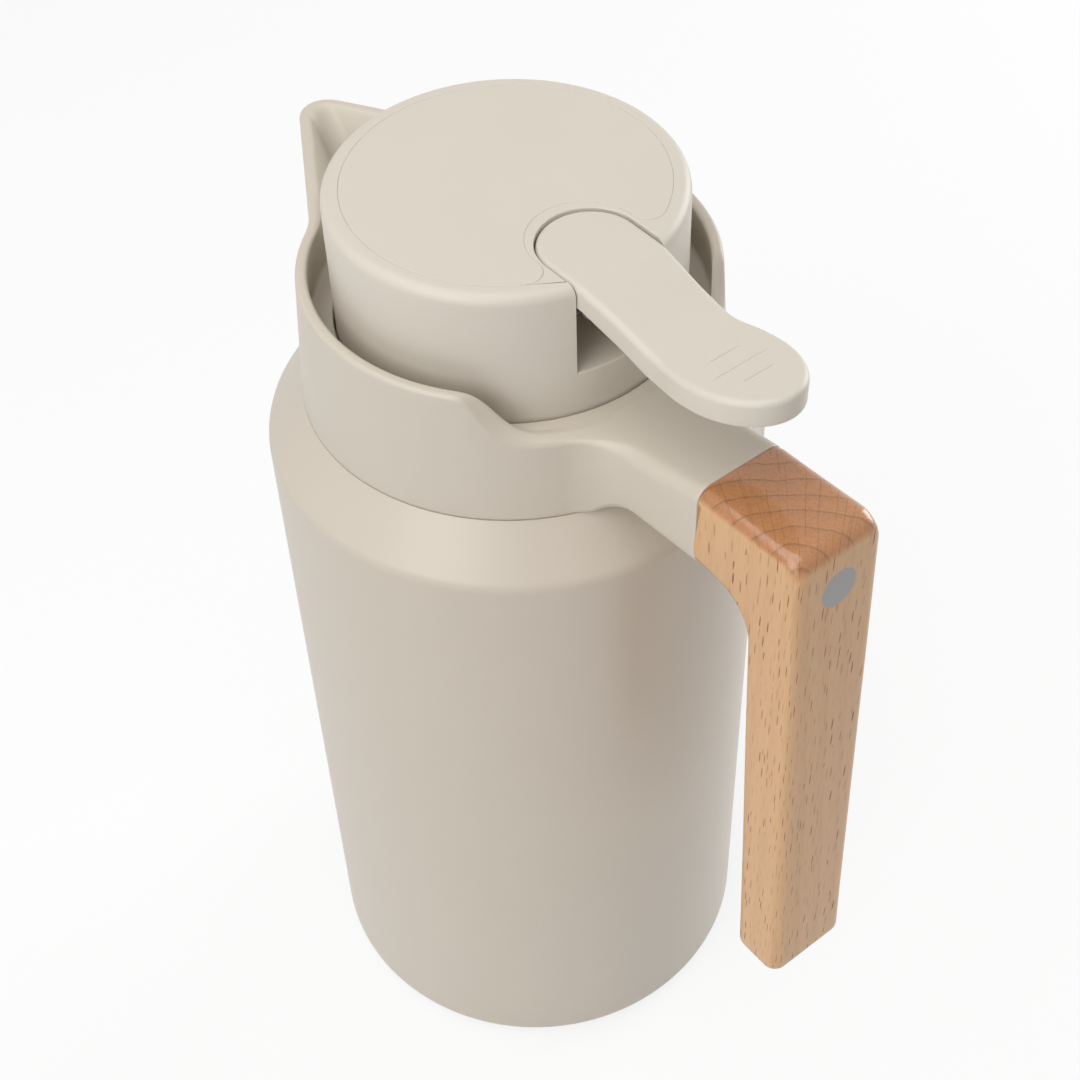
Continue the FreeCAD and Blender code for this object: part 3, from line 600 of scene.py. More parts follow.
def shaded(tone, factor=1.0):
    """Colour with full cover, made lighter or darker by a factor."""
    return tuple(min(1.0, c * factor) for c in tuple(tone)[:3]) + (1.0,)


def new_material(name):
    """Material with an empty Principled shader: the material, its shader node and its Object coordinates."""
    material = bpy.data.materials.new(name)
    material.use_nodes = True
    tree = material.node_tree
    shader = tree.nodes["Principled BSDF"]
    place = tree.nodes.new("ShaderNodeTexCoord")
    return material, shader, Value(tree, place.outputs["Object"])


def moulded_plastic(name, tone, rough):
    """Satin plastic with a fine moulded grain and a faint cloudiness of tone and gloss."""
    material, shader, place = new_material(name)
    cloud = place.noise(scale=38.0)
    grain = place.noise(scale=2600.0, detail=2.0)
    feed(shader, Base_Color=cloud.shades(tone, dark=0.975, light=1.02),
         Roughness=rough + cloud.swing(0.08) + grain.swing(0.06),
         Normal=grain.bump(distance=0.00001), Specular_IOR_Level=0.45)
    return material


def satin_paint(name, tone):
    """Sprayed satin paint on steel: slight orange peel under an even tone."""
    material, shader, place = new_material(name)
    cloud = place.noise(scale=22.0)
    peel = place.noise(scale=620.0, detail=2.0, roughness=0.45)
    fine = place.noise(scale=3400.0, detail=1.0)
    rough = 0.36
    peel_share = 0.8
    height = peel * peel_share + fine * (1 - peel_share)
    feed(shader, Base_Color=cloud.shades(tone, dark=0.98, light=1.015),
         Roughness=rough + cloud.swing(0.06) + fine.swing(0.05),
         Normal=height.bump(distance=0.000012), Specular_IOR_Level=0.5)
    return material


def brushed_steel(name, tone, stretch):
    """Steel with fine brush lines along the directions in which stretch is small."""
    material, shader, place = new_material(name)
    lines = place.stretched(*stretch).noise(scale=1.0)
    smoothest = 0.26
    rougher = 0.2
    feed(shader, Base_Color=lines.shades(tone, dark=0.86, light=1.08), Metallic=1.0,
         Roughness=smoothest + rougher * lines, Normal=lines.bump(distance=0.000006))
    return material


def silicone_rubber(name, tone):
    """Matt rubber with a powdery bloom."""
    material, shader, place = new_material(name)
    bloom = place.noise(scale=240.0, detail=4.0)
    pits = place.noise(scale=1800.0)
    rough = 0.62
    feed(shader, Base_Color=bloom.shades(tone, dark=0.9, light=1.08), Roughness=rough + bloom.swing(0.2),
         Normal=pits.bump(distance=0.00001))
    return material


def beech_rays(distance, around, height):
    """Rays of the beech: how far a point is in a fleck, and how far in a fine line of the end grain.

    Rays are thin upright sheets that run away from the pith. Cells in the wood's three directions each hold
    one, thin across, a few millimetres tall and long outwards, so that the same rays are flecks on the sides
    and fine lines on the end grain.
    """
    cell_across, cell_tall, cell_long = 0.0016, 0.0052, 0.018
    half_across, half_tall, half_line = 0.00014, 0.0023, 0.00011
    faintest = 0.12
    cell = distance.vector(around / cell_across, height / cell_tall, distance / cell_long)
    centre = cell.node("ShaderNodeTexVoronoi", {"feature": "F1"}, {"Vector": cell, "Scale": 1.0},
                       output="Position")
    offset = cell.node("ShaderNodeVectorMath", {"operation": "SUBTRACT"}, {0: cell, 1: centre})
    pick = centre.node("ShaderNodeTexWhiteNoise", {"noise_dimensions": "3D"}, {"Vector": centre})
    across, tall = offset.parts()[:2]
    across = across * (cell_across / half_across)
    tall = tall * (cell_tall / half_tall)
    fleck = (1 - (across * across + tall * tall)).between(0.0, 0.8) * (pick * pick + faintest)
    thin = across * (half_across / half_line)
    line = (1 - thin * thin).between(0.0, 1.0) * pick.between(0.0, 0.9)
    return fleck, line


def beech(name, finish):
    """Lacquered beech with upright grain.

    The wood's own directions are the distance from the pith, the way round it and the height. Rings are dark
    lines at steps of the distance, bent by a slow wave. Fibres are a noise drawn out along the height. Where
    the surface faces up or down, it is end grain.
    """
    material, shader, place = new_material(name)
    pith_x, pith_y = 0.128, -0.034
    mean_distance = 0.05
    ring_step = 0.0046
    ring_wave, ray_wave = 0.004, 0.0014
    x, y, z = place.parts()
    wave = place.stretched(70.0, 70.0, 9.0).noise(scale=1.0, detail=2.0)
    fibre = place.stretched(2200.0, 2200.0, 130.0).noise(scale=1.0, roughness=0.65)
    away_x = x - pith_x
    away_y = y - pith_y
    distance = (away_x * away_x + away_y * away_y) ** 0.5
    around = away_y.maths("ARCTAN2", away_x) * mean_distance + wave.swing(ray_wave)
    ring = ((distance + wave.swing(ring_wave)) / ring_step).maths("FRACT")
    late = ring.hump(0.3, 0.92, 1.0)
    ring_line = ring.hump(0.84, 0.95, 1.0)
    fleck, line = beech_rays(distance, around, z)
    facing = Value(place.tree, place.socket.node.outputs["Normal"]).parts()[2]
    end = abs(facing).between(0.12, 0.6)

    streak = late * 0.16 + fibre.swing(0.8) + wave.swing(0.3)
    side = streak.maths("ADD", 0.2, clamp=True).mix(shaded(finish.wood_light), shaded(finish.wood_dark))
    side = fleck.maths("MULTIPLY", 0.95, clamp=True).mix(side, shaded(finish.wood_fleck))
    grain = ring_line * 0.5 + late * 0.12 + fibre.swing(1.3) + line * 0.55
    end_tone = grain.maths("ADD", 0.12, clamp=True).shades(finish.wood_end, 1.1, 0.5)
    height = fibre * 0.4 - fleck * 0.3 * (1 - end) - ring_line * 0.2
    rough, side_coat, end_coat = 0.4, 0.1, 0.8
    feed(shader, Base_Color=end.mix(side, end_tone), Roughness=rough + fibre.swing(0.14),
         Normal=height.bump(distance=0.00002), Specular_IOR_Level=0.4,
         Coat_Weight=side_coat + (end_coat - side_coat) * end, Coat_Roughness=0.1)
    return material


def finish_with(piece, material):
    """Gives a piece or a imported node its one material."""
    piece.data.materials.clear()
    piece.data.materials.append(material)


# Body

def body_shell(body, collar):
    """Steel body: one bent line turned about the axis, from the foot's lip up to the neck."""
    line = sheet_line([
        (body.lip_r, body.foot_z),
        (body.radius, body.foot_z, body.base_round),
        (body.radius, body.shoulder_z, body.shoulder_round),
        (collar.foot_r, collar.foot_z),
        (body.neck_r, collar.foot_z),
        (body.neck_r, body.neck_top),
    ], body.wall)
    skin = Skin("body_shell").add(turned(line, steps=240), True, True)
    return skin.make("jug", "body_paint", "outer_shell")


def flask_liner(flask, body):
    """Liner: a bent line turned about the axis, from the middle of the floor up to its flared rim."""
    cone_slope = 0.648
    shoulder_round = 8.0
    neck_round = 3.0
    cone_z = flask.neck_z - 2.0
    cone_r = flask.radius - (cone_z - flask.shoulder_z) * cone_slope
    rim_z = flask.top_z - flask.wall
    line = sheet_line([
        (0.0, flask.foot_z),
        (flask.radius, flask.foot_z, flask.foot_round),
        (flask.radius, flask.shoulder_z, shoulder_round),
        (cone_r, cone_z, neck_round),
        (flask.neck_r, flask.neck_z, neck_round),
        (flask.neck_r, rim_z),
        (body.neck_r, rim_z),
    ], flask.wall)
    skin = Skin("flask_liner").add(turned(line, steps=180), True, True)
    return skin.make("jug", "steel", "inner_flask")


# Collar and arm

def spout_reach(turn, apex, half_angle, tip_round):
    """Distance from the axis to the spout's V at an angle from its middle line.

    The sine rule gives apex sin(h) / sin(h + turn) on the straight side. The tip is the circle that touches
    both sides, seen from the axis: c cos(turn) + sqrt(r^2 - c^2 sin(turn)^2), with c the distance to its
    centre.
    """
    centre = apex - tip_round / math.sin(half_angle)
    touch = np.arctan2(tip_round * math.cos(half_angle), centre + tip_round * math.sin(half_angle))
    ahead = np.minimum(turn, math.pi / 2)
    side = apex * math.sin(half_angle) / np.sin(half_angle + ahead)
    inside = np.maximum(tip_round ** 2 - (centre * np.sin(ahead)) ** 2, 0)
    tip = centre * np.cos(ahead) + np.sqrt(inside)
    return np.where(turn < touch, tip, np.where(turn < math.pi / 2 - half_angle, side, 0))


class CollarForm:
    """Section of the collar at angles from the handle, as rows of radii and heights.

    The rows run up the outside, over the rim, down the inside, in along the ledge and back through the bore
    to the foot. A round edge of radius r is inset by r (1 - cos t) at r (1 - sin t) below its top.
    """
    quarter = quarter_turn(5)
    outside_rows = 26
    inside_rows = 12
    blend_width = (0.6, 5.0)
    round_share = 0.45
    flat_share = 0.4
    foot_round = 0.6
    ledge_fillet = 1.3
    ledge_lip = 0.5
    neck_step = 1.55
    least_wall = 0.02
    wall_lean = 2.2

    def __init__(self, sizes, angle):
        self.sizes = sizes
        self.from_spout = math.pi - np.abs(angle)
        self.from_handle = np.abs(angle)
        self.even = np.ones_like(angle)
        self.low = sizes.foot_z + self.foot_round
        self.rim_out = self.rim_height(0.0, sizes.dip_half)
        self.rim_in = self.rim_height(sizes.dip_lag, sizes.dip_half_in)
        self.height = np.maximum(self.rim_in - sizes.ledge_z, self.least_wall)
        self.round_in = np.minimum(sizes.rim_round, self.round_share * self.height)
        self.lean = self.wall_lean * (1 - self.height / (sizes.rim_z - sizes.ledge_z)) ** 2

    def wall_radius(self, z, inset):
        """Smooth maximum of the collar's cone and the spout's V.

        The apex of the V slides in by the depth below the rim.
        """
        sizes = self.sizes
        share = (z - sizes.foot_z) / (sizes.rim_z - sizes.foot_z)
        cone = sizes.foot_r + share * (sizes.rim_r - sizes.foot_r) - inset
        apex = sizes.apex - (sizes.rim_z - z) - inset / math.sin(sizes.half_angle)
        reach = spout_reach(self.from_spout, apex, sizes.half_angle, sizes.tip_round - inset)
        steepest = 0.999
        turn = np.arccos(np.clip(apex * math.sin(sizes.half_angle) / cone, 0.0, steepest))
        width = np.clip((sizes.flare + inset) * np.tan(turn / 2) * np.tan(turn), *self.blend_width)
        return smooth_max(cone, reach, width)

    def rim_height(self, lag, half):
        """Rim's height, which falls to the ledge at the handle.

        With t the angle into the dip, the fall's share is t^p / (t^p + h^p).
        """
        sizes = self.sizes
        way = np.maximum(sizes.dip_start - lag - self.from_handle, 0) ** sizes.dip_power
        return sizes.rim_z - (sizes.rim_z - sizes.ledge_z) * way / (way + half ** sizes.dip_power)

    def inner_radius(self, z):
        """Radius of the inside wall, which leans in where the rim is low."""
        rise = np.clip((z - self.sizes.ledge_z) / self.height, 0, 1)
        return self.wall_radius(z, self.sizes.wall) - self.lean * (1 - rise)

    def outside(self):
        """Rows up the outside wall."""
        top = self.rim_out - self.sizes.rim_round
        heights = [self.low + share * (top - self.low) for share in np.linspace(0, 1, self.outside_rows)]
        return [(self.wall_radius(z, 0.0), z) for z in heights]

    def rim(self):
        """Rows over the rim: a quarter round, a slanting flat and another quarter round."""
        sizes = self.sizes
        outer = self.wall_radius(self.rim_out, 0.0)
        inner = self.inner_radius(self.rim_in)
        thick = (outer - self.wall_radius(self.rim_in, sizes.wall)) / sizes.wall
        ease_out = sizes.rim_round * thick
        ease_in = np.minimum(self.round_in, self.flat_share * sizes.wall) * thick
        slope = (self.rim_in - self.rim_out) / (outer - inner)
        rows = []
        for turn in self.quarter[1:]:
            z = self.rim_out - sizes.rim_round * (1 - math.sin(turn))
            inset = ease_out * (1 - math.cos(turn))
            rows.append((self.wall_radius(z, 0.0) - inset, z + slope * inset))
        start_r, start_z = rows[-1]
        end_r = inner + ease_in
        end_z = self.rim_in - slope * ease_in
        for share in (0.25, 0.5, 0.75):
            rows.append((start_r + share * (end_r - start_r), start_z + share * (end_z - start_z)))
        for turn in self.quarter[::-1]:
            z = self.rim_in - self.round_in * (1 - math.sin(turn))
            inset = ease_in * (1 - math.cos(turn))
            rows.append((self.inner_radius(z) + inset, z - slope * inset))
        return rows

    def inside(self):
        """Rows down the inside wall and round the fillet to the ledge."""
        sizes = self.sizes
        fillet = np.minimum(self.ledge_fillet, self.flat_share * self.height)
        top = self.rim_in - self.round_in
        rows = []
        for share in np.linspace(0, 1, self.inside_rows)[1:]:
            z = top + share * (sizes.ledge_z + fillet - top)
            rows.append((self.inner_radius(z), z))
        for turn in self.quarter[1:]:
            z = sizes.ledge_z + fillet * (1 - math.sin(turn))
            rows.append((self.inner_radius(z) - fillet * (1 - math.cos(turn)), z))
        return rows

    def bore(self, edge):
        """Rows in along the ledge from its outer edge, over its lip and down through the bore."""
        sizes = self.sizes
        lip = self.ledge_lip
        rows = []
        for share in (0.3, 0.7):
            rows.append((edge + share * (sizes.bore_r + lip - edge), sizes.ledge_z * self.even))
        for turn in self.quarter[::-1]:
            r = sizes.bore_r + lip * (1 - math.cos(turn))
            z = sizes.ledge_z - lip * (1 - math.sin(turn))
            rows.append((r * self.even, z * self.even))
        under = sizes.ledge_z - sizes.ledge_thick
        neck = sizes.bore_r + self.neck_step
        for r, z in ((sizes.bore_r, under), (neck, under), (neck, sizes.foot_z)):
            rows.append((r * self.even, z * self.even))
        return rows

    def foot(self):
        """Rows round the foot's edge, up to where the outside starts."""
        base = self.wall_radius(self.low, 0.0)
        rows = []
        for turn in self.quarter[:0:-1]:
            z = self.low - self.foot_round * math.sin(turn)
            rows.append((base - self.foot_round * (1 - math.cos(turn)), z * self.even))
        return rows


def collar_weight(angle):
    """Density of the collar's columns: closer at the spout's tip, at its flare and in the rim's dip.

    Each of these adds h exp(-((a - place) / width)^2).
    """
    turn = np.abs(angle)
    # Height, place and width of each
    bells = ((4.0, math.pi, 0.1), (1.2, math.pi - 0.5, 0.25), (2.2, 0.72, 0.16))
    return 1 + sum(height * np.exp(-((turn - place) / width) ** 2) for height, place, width in bells)


def collar_ring(sizes):
    """Collar as one closed grid: angle round the axis by the rows of its section."""
    columns = 420
    angle = spaced(-math.pi, math.pi, columns, collar_weight)[:-1]
    form = CollarForm(sizes, angle)
    rows = form.outside() + form.rim() + form.inside()
    rows += form.bore(rows[-1][0]) + form.foot()
    r, z = [np.stack(column, axis=1) for column in zip(*rows)]
    return round_axis(r, z, angle)


def arm_loft(arm, collar):
    """Arm: rounded rectangles along X.

    The flare is a circle of radius f beside the arm that touches the collar, of radius c, from outside. Its
    centre is f beside the arm's side and sqrt((c + f)^2 - y^2) out. Near the collar the form is moved in or
    out so that it leaves the collar's cone at every height. The top rises from the ledge to the grip with an
    eased start, and the underside sinks towards the shoulder. The end has a small bevel.
    """
    flare_sections, arm_sections = 30, 24
    top_ease, top_drop = 5.0, 0.15
    sink, sink_x, sink_run = 2.4, 46.0, 2.6
    bevel_start = 0.35
    bevel_run, bevel_depth = np.array([0.1, 0.0]), np.array([0.08, 0.3])
    collar_r = (collar.foot_r + collar.rim_r) / 2
    root_half = arm.half_width + arm.taper * arm.root_run
    flare_y = root_half + arm.flare
    flare_x = math.sqrt((collar_r + arm.flare) ** 2 - flare_y ** 2)
    start_x = flare_x * collar_r / (collar_r + arm.flare)
    straight = np.linspace(flare_x, arm.end_x - bevel_start, arm_sections)
    x = np.concatenate([np.linspace(start_x, flare_x, flare_sections), straight[1:]])

    beside = flare_y - np.sqrt(arm.flare ** 2 - np.clip(flare_x - x, 0, arm.flare) ** 2)
    along = np.minimum((arm.end_x - x) / (arm.end_x - flare_x), 1)
    half = np.where(x < flare_x, beside, arm.half_width + (root_half - arm.half_width) * along)
    slope = (arm.end_top - collar.ledge_z) / (arm.end_x - start_x)
    rise = x - start_x - top_ease / 2
    top = collar.ledge_z - top_drop + slope * (rise + np.sqrt(rise ** 2 + top_ease ** 2)) / 2
    top = top + (arm.end_top - top[-1]) * ((x - start_x) / (arm.end_x - start_x)) ** 2
    low = arm.foot_z - sink * np.minimum(np.exp(-(x - sink_x) / sink_run), 1)
    radius = collar.rim_round + (arm.edge_round - collar.rim_round) * smooth_step(x, start_x, flare_x)

    x = np.concatenate([x, arm.end_x - bevel_run])
    half = np.concatenate([half, half[-1] - bevel_depth])
    top = np.concatenate([top, top[-1] - bevel_depth])
    low = np.concatenate([low, low[-1] + bevel_depth])
    radius = np.concatenate([radius, [radius[-1], radius[-1]]])
    across, up = rounded_boxes(half, low, top, radius)
    out = np.broadcast_to(x[:, None], across.shape)
    share = (up - collar.foot_z) / (collar.rim_z - collar.foot_z)
    cone = collar.foot_r + share * (collar.rim_r - collar.foot_r)
    grow = 1 + (cone - collar_r) * (1 - smooth_step(out, start_x, flare_x)) / np.hypot(out, across)
    return with_poles(np.stack([out * grow, across * grow, up], axis=-1))


def spout_collar(collar, arm):
    """Collar and arm in one moulding."""
    skin = Skin("spout_collar_moulding")
    skin.add(collar_ring(collar), True, True)
    skin.add(arm_loft(arm, collar), False, True)
    return skin.make("jug", "collar_plastic", "spout_collar")


# Grip

def grip_back(grip, z):
    """Where the grip's leaning back face is at a height."""
    return grip.back_top_x + (grip.back_top_z - z) * grip.lean


def grip_lines(grip, arm, foot_z):
    """Outer and inner line of the grip: along the arm, round the corner and down the leaning leg."""
    corner_steps, arm_points, leg_points = 16, 8, 40
    back_foot = grip_back(grip, foot_z)
    inner_x = grip_back(grip, grip.under_z) - grip.thick
    outer = [(arm.end_x, arm.end_top), (grip.back_top_x, grip.back_top_z, grip.corner_round),
             (back_foot, foot_z)]
    inner = [(arm.end_x, grip.under_z), (inner_x, grip.under_z, grip.inner_round),
             (back_foot - grip.thick, foot_z)]
    lines = []
    for corners in (outer, inner):
        line = corner_line(corners, corner_steps)
        along = np.linspace(line[0], line[1], arm_points)[:-1]
        down = np.linspace(line[-2], line[-1], leg_points)[1:]
        lines.append(np.vstack([along, line[1:-1], down]))
    return lines


def grip_loft(grip, arm):
    """Grip: rounded rectangles between its outer and inner line.

    At the foot the sections draw in by r (1 - cos t) while they go down by r sin t. The first section, at the
    arm, is drawn in by a small bevel.
    """
    foot_round = 2.2
    bevel = 0.3
    bevel_share = 0.1
    least_round = 0.6
    outer, inner = grip_lines(grip, arm, grip.foot_z + foot_round)
    middle = (outer + inner) / 2
    half_thick = np.linalg.norm(outer - inner, axis=1) / 2
    way = (outer - inner) / (2 * half_thick[:, None])
    turn = quarter_turn(6)[1:]
    down = np.array([grip.lean, -1.0]) / math.hypot(grip.lean, 1)
    draw = np.concatenate([np.zeros(len(middle)), foot_round * (1 - np.cos(turn))])
    draw[0] = bevel
    middle = np.vstack([middle, middle[-1] + down * foot_round * np.sin(turn)[:, None]])
    middle[1] = middle[0] + (middle[1] - middle[0]) * bevel_share
    way = np.vstack([way, np.repeat(way[-1:], len(turn), axis=0)])
    half_thick = np.concatenate([half_thick, np.repeat(half_thick[-1], len(turn))])
    radius = np.maximum(grip.edge_round - draw, least_round)
    a, b = rounded_boxes(arm.half_width - draw, draw - half_thick, half_thick - draw, radius)
    x = middle[:, None, 0] + way[:, None, 0] * b
    z = middle[:, None, 1] + way[:, None, 1] * b
    return with_poles(np.stack([x, a, z], axis=-1))


def handle_grip(grip, arm):
    """Beech grip."""
    skin = Skin("beech_grip").add(grip_loft(grip, arm), False, True)
    return skin.make("jug", "beech", "handle_grip")


def screw_plug(grip):
    """Plug: a flat-domed button turned about the screw's axis, which is square to the grip's back face."""
    radius = grip.plug_r
    crown_z, dome_z, dome_r = 0.12, 0.1, 0.55 * radius
    edge_round = 0.35
    foot_z = -4.0
    line = corner_line([(0.0, crown_z), (dome_r, dome_z), (radius, 0.0, edge_round), (radius, foot_z),
                        (0.0, foot_z)])
    axis = np.array([1.0, 0.0, grip.lean]) / math.hypot(1, grip.lean)
    plug_axes = np.array([[0.0, 1.0, 0.0], [-axis[2], 0.0, axis[0]], axis])
    mouth = np.array([grip_back(grip, grip.screw_z), 0.0, grip.screw_z])
    grid = mouth + turned(line, steps=96) @ plug_axes
    return Skin("screw_cap").add(grid, True, False).make("jug", "plug_plastic", "screw_plug")


# Lid

class LidForm:
    """Outlines of the lid's top, and the grids of its drum that start from them.

    Half outlines at y > 0 all have the same columns, along the drum, the slot's side and its end. The panel
    is a disc with a notch. The circle that rounds the notch's corner touches the disc from inside and the
    notch's side, so its centre is sqrt((R - f)^2 - (n + f)^2) out along x and n + f along y.
    """
    drum_columns = 150
    window_columns = 25
    side_columns = 22
    end_columns = 44
    floor_columns = 49
    reveal_columns = 21
    lining_columns, lining_window_columns = 120, 20
    wall_rows, front_rows, window_rows, foot_rows = 12, 4, 6, 5
    cheek_rows, floor_rows = 6, 12
    quarter = quarter_turn(8)
    broken_edge = quarter_turn(3)
    front_edge = 0.4

    def __init__(self, lid):
        self.lid = lid
        window = math.asin(lid.window_half / lid.radius) / (math.pi - self.mouth(lid.radius))
        beside = np.linspace(window, 1, self.drum_columns - self.window_columns + 1)
        self.share = np.concatenate([np.linspace(0, window, self.window_columns), beside[1:]])
        front_z = np.linspace(lid.floor_z - self.front_edge, lid.window_high, self.front_rows)
        window_z = np.linspace(lid.window_high, lid.window_low, self.window_rows)
        foot_z = np.linspace(lid.window_low, lid.foot_z, self.foot_rows)
        self.low_z = np.concatenate([front_z, window_z[1:], foot_z[1:]])

    def mouth(self, radius):
        """Angle from the handle at which a circle about the axis meets the slot's side."""
        return math.asin(self.lid.slot_half / radius)

    def drum(self, radius):
        """Circle about the axis from the spout's side to the slot."""
        angle = math.pi + self.share * (self.mouth(radius) - math.pi)
        return np.stack([radius * np.cos(angle), radius * np.sin(angle)], axis=1)

    def slot(self, inset):
        """Slot's side and round end, moved out by an inset that starts from nothing at the drum."""
        lid = self.lid
        inner = lid.radius - lid.top_round
        x = np.linspace(inner * math.cos(self.mouth(inner)), lid.slot_x, self.side_columns)
        grow = np.clip((x[0] - x) / (2 * lid.slot_edge), 0, 1)
        side = np.stack([x, lid.slot_half + inset * grow], axis=1)
        end = arc(lid.slot_x, 0, lid.slot_half + inset, math.pi / 2, math.pi, self.end_columns)
        return np.vstack([side, end[1:]])

    def panel(self, grow):
        """Panel's outline, moved out by a distance: along the disc, and along the notch."""
        lid = self.lid
        outer = lid.panel_r + grow
        notch = lid.notch_half - grow
        flare = lid.notch_flare
        flare_x = math.sqrt((outer - flare) ** 2 - (notch + flare) ** 2)
        meet = math.atan2(notch + flare, flare_x)
        angle = math.pi + self.share * (meet - math.pi)
        disc = np.stack([outer * np.cos(angle), outer * np.sin(angle)], axis=1)
        corner = arc(flare_x, notch + flare, flare, meet, -math.pi / 2, self.side_columns)
        end = arc(lid.notch_x, 0, notch, math.pi / 2, math.pi, self.end_columns)
        return disc, np.vstack([corner, end[1:]])

    def top_rows(self, part, flat_end):
        """Rows from the panel's gap over the broken edge and the flat top.

        They run along the disc for part 0 and along the notch for part 1.
        """
        lid = self.lid
        rows = [at_height(self.panel(lid.panel_gap)[part], lid.top_z - lid.panel_thick)]
        for turn in self.broken_edge:
            grow = lid.panel_gap + lid.panel_break * (1 - math.cos(turn))
            z = lid.top_z - lid.panel_break * (1 - math.sin(turn))
            rows.append(at_height(self.panel(grow)[part], z))
        start, end = rows[-1], at_height(flat_end, lid.top_z)
        return rows + [start + share * (end - start) for share in (0.05, 0.5, 0.95)]

    def drum_wall(self):
        """Grid from the panel's gap over the top and the drum's round edge, down the wall, on both sides."""
        lid = self.lid
        rows = self.top_rows(0, self.drum(lid.radius - lid.top_round))
        for turn in self.quarter:
            radius = lid.radius - lid.top_round * (1 - math.sin(turn))
            rows.append(at_height(self.drum(radius), lid.top_z - lid.top_round * (1 - math.cos(turn))))
        wall_z = np.linspace(lid.top_z - lid.top_round, self.low_z[0], self.wall_rows)
        rows += [at_height(self.drum(lid.radius), z) for z in np.concatenate([wall_z[1:], self.low_z[1:]])]
        half = np.stack(rows, axis=1)
        return np.concatenate([half[::-1], half[1:] * MIRROR])

    def slot_wall(self):
        """Grid from the panel's gap over the top and the slot's edge, down to its floor, round its end."""
        lid = self.lid
        rows = self.top_rows(1, self.slot(lid.slot_edge))
        for turn in self.quarter:
            inset = lid.slot_edge * (1 - math.sin(turn))
            rows.append(at_height(self.slot(inset), lid.top_z - lid.slot_edge * (1 - math.cos(turn))))
        gate_middle = (lid.gate_high + lid.gate_low) / 2
        for z in (lid.gate_high, gate_middle, lid.gate_low, lid.floor_z):
            rows.append(at_height(self.slot(0.0), z))
        grid = mirrored(np.stack(rows, axis=1)[::-1])
        return np.roll(grid, -len(rows[0]), axis=0)

    def slot_cheeks(self):
        """Two small grids beside the slot's mouth, from the drum's round edge down to the floor."""
        lid = self.lid
        radius = lid.radius - lid.top_round * (1 - np.sin(self.quarter))
        x = np.sqrt(radius ** 2 - lid.slot_half ** 2)[:, None]
        top = (lid.top_z - lid.top_round * (1 - np.cos(self.quarter)))[:, None]
        z = top + np.linspace(0, 1, self.cheek_rows) * (lid.floor_z - top)
        cheek = np.stack(np.broadcast_arrays(x, lid.slot_half, z), axis=-1)
        return cheek, cheek * MIRROR

    def slot_floor(self):
        """Grid of the slot's floor from its round end to the drum, over the edge and down the front."""
        lid = self.lid
        edge = self.front_edge
        y = lid.slot_half * np.sin(np.linspace(-math.pi / 2, math.pi / 2, self.floor_columns))
        start = lid.slot_x - np.sqrt(np.maximum(lid.slot_half ** 2 - y ** 2, 0))
        brink = np.sqrt((lid.radius - edge) ** 2 - y ** 2)
        shares = np.linspace(0, 1, self.floor_rows)
        rows = [(start + share * (brink - start), lid.floor_z) for share in shares]
        for turn in self.quarter[1:]:
            radius = lid.radius - edge * (1 - math.sin(turn))
            rows.append((np.sqrt(radius ** 2 - y ** 2), lid.floor_z - edge * (1 - math.cos(turn))))
        rows += [(rows[-1][0], z) for z in self.low_z[1:]]
        return np.stack([np.column_stack([x, y, np.full_like(y, z)]) for x, z in rows])

    def lining(self, inside):
        """Grid of the lid's inside: foot, wall, ceiling, the boss round the stem and the stem's hole."""
        lid = self.lid
        under = lid.floor_z - lid.floor_thick
        line = np.array([
            (lid.radius, lid.foot_z), (inside, lid.foot_z), (inside, lid.window_low),
            (inside, lid.window_high), (inside, under), (lid.boss_r, under), (lid.boss_r, lid.boss_z),
            (lid.stem_hole, lid.boss_z), (lid.stem_hole, lid.floor_z),
        ])
        half = math.asin(lid.window_half / inside)
        side = np.linspace(half - math.pi, math.pi - half, self.lining_columns)
        front = np.linspace(math.pi - half, math.pi + half, self.lining_window_columns)
        return round_axis(line[:, 0], line[:, 1], np.concatenate([side, front[1:-1]]))

    def window_reveal(self, inside):
        """Grid through the wall, round the pouring window."""
        lid = self.lid
        across = np.linspace(-lid.window_half, lid.window_half, self.reveal_columns)
        y = np.concatenate([across, across[::-1]])
        z = np.repeat([lid.window_low, lid.window_high], len(across))
        return np.stack([np.column_stack([-np.sqrt(r ** 2 - y ** 2), y, z]) for r in (lid.radius, inside)])

    def in_window(self, grid):
        """Marks the points of a grid that lie in the pouring window."""
        lid = self.lid
        return in_hole(grid, lid.window_half, lid.window_low, lid.window_high) & (grid[..., 0] < 0)

    def in_gate(self, grid):
        """Marks the points of a grid that lie in the gate for the lever's tongue."""
        lid = self.lid
        return in_hole(grid, lid.gate_half, lid.gate_low, lid.gate_high) & (grid[..., 0] < lid.slot_x)


def in_hole(grid, half_width, low, high):
    """Marks the points of a grid within the width and the height of a hole along X."""
    near = 1e-3
    y, z = np.abs(grid[..., 1]), grid[..., 2]
    return (y < half_width + near) & (z > low - near) & (z < high + near)


def lid_drum(lid):
    """Drum of the lid: outside, slot with its gate, floor, inside and the pouring window."""
    form = LidForm(lid)
    inside = lid.radius - lid.wall
    wall = form.drum_wall()
    slot = form.slot_wall()
    lining = form.lining(inside)
    at_wall = np.isclose(np.hypot(lining[..., 0], lining[..., 1]), inside)
    skin = Skin("lid_drum")
    skin.add(wall, leave_out=form.in_window(wall))
    skin.add(slot, leave_out=form.in_gate(slot))
    for cheek in form.slot_cheeks():
        skin.add(cheek)
    skin.add(form.slot_floor())
    skin.add(lining, True, leave_out=form.in_window(lining) & at_wall)
    skin.add(form.window_reveal(inside), False, True)
    return skin.make("lid", "lid_plastic", "lid_body")


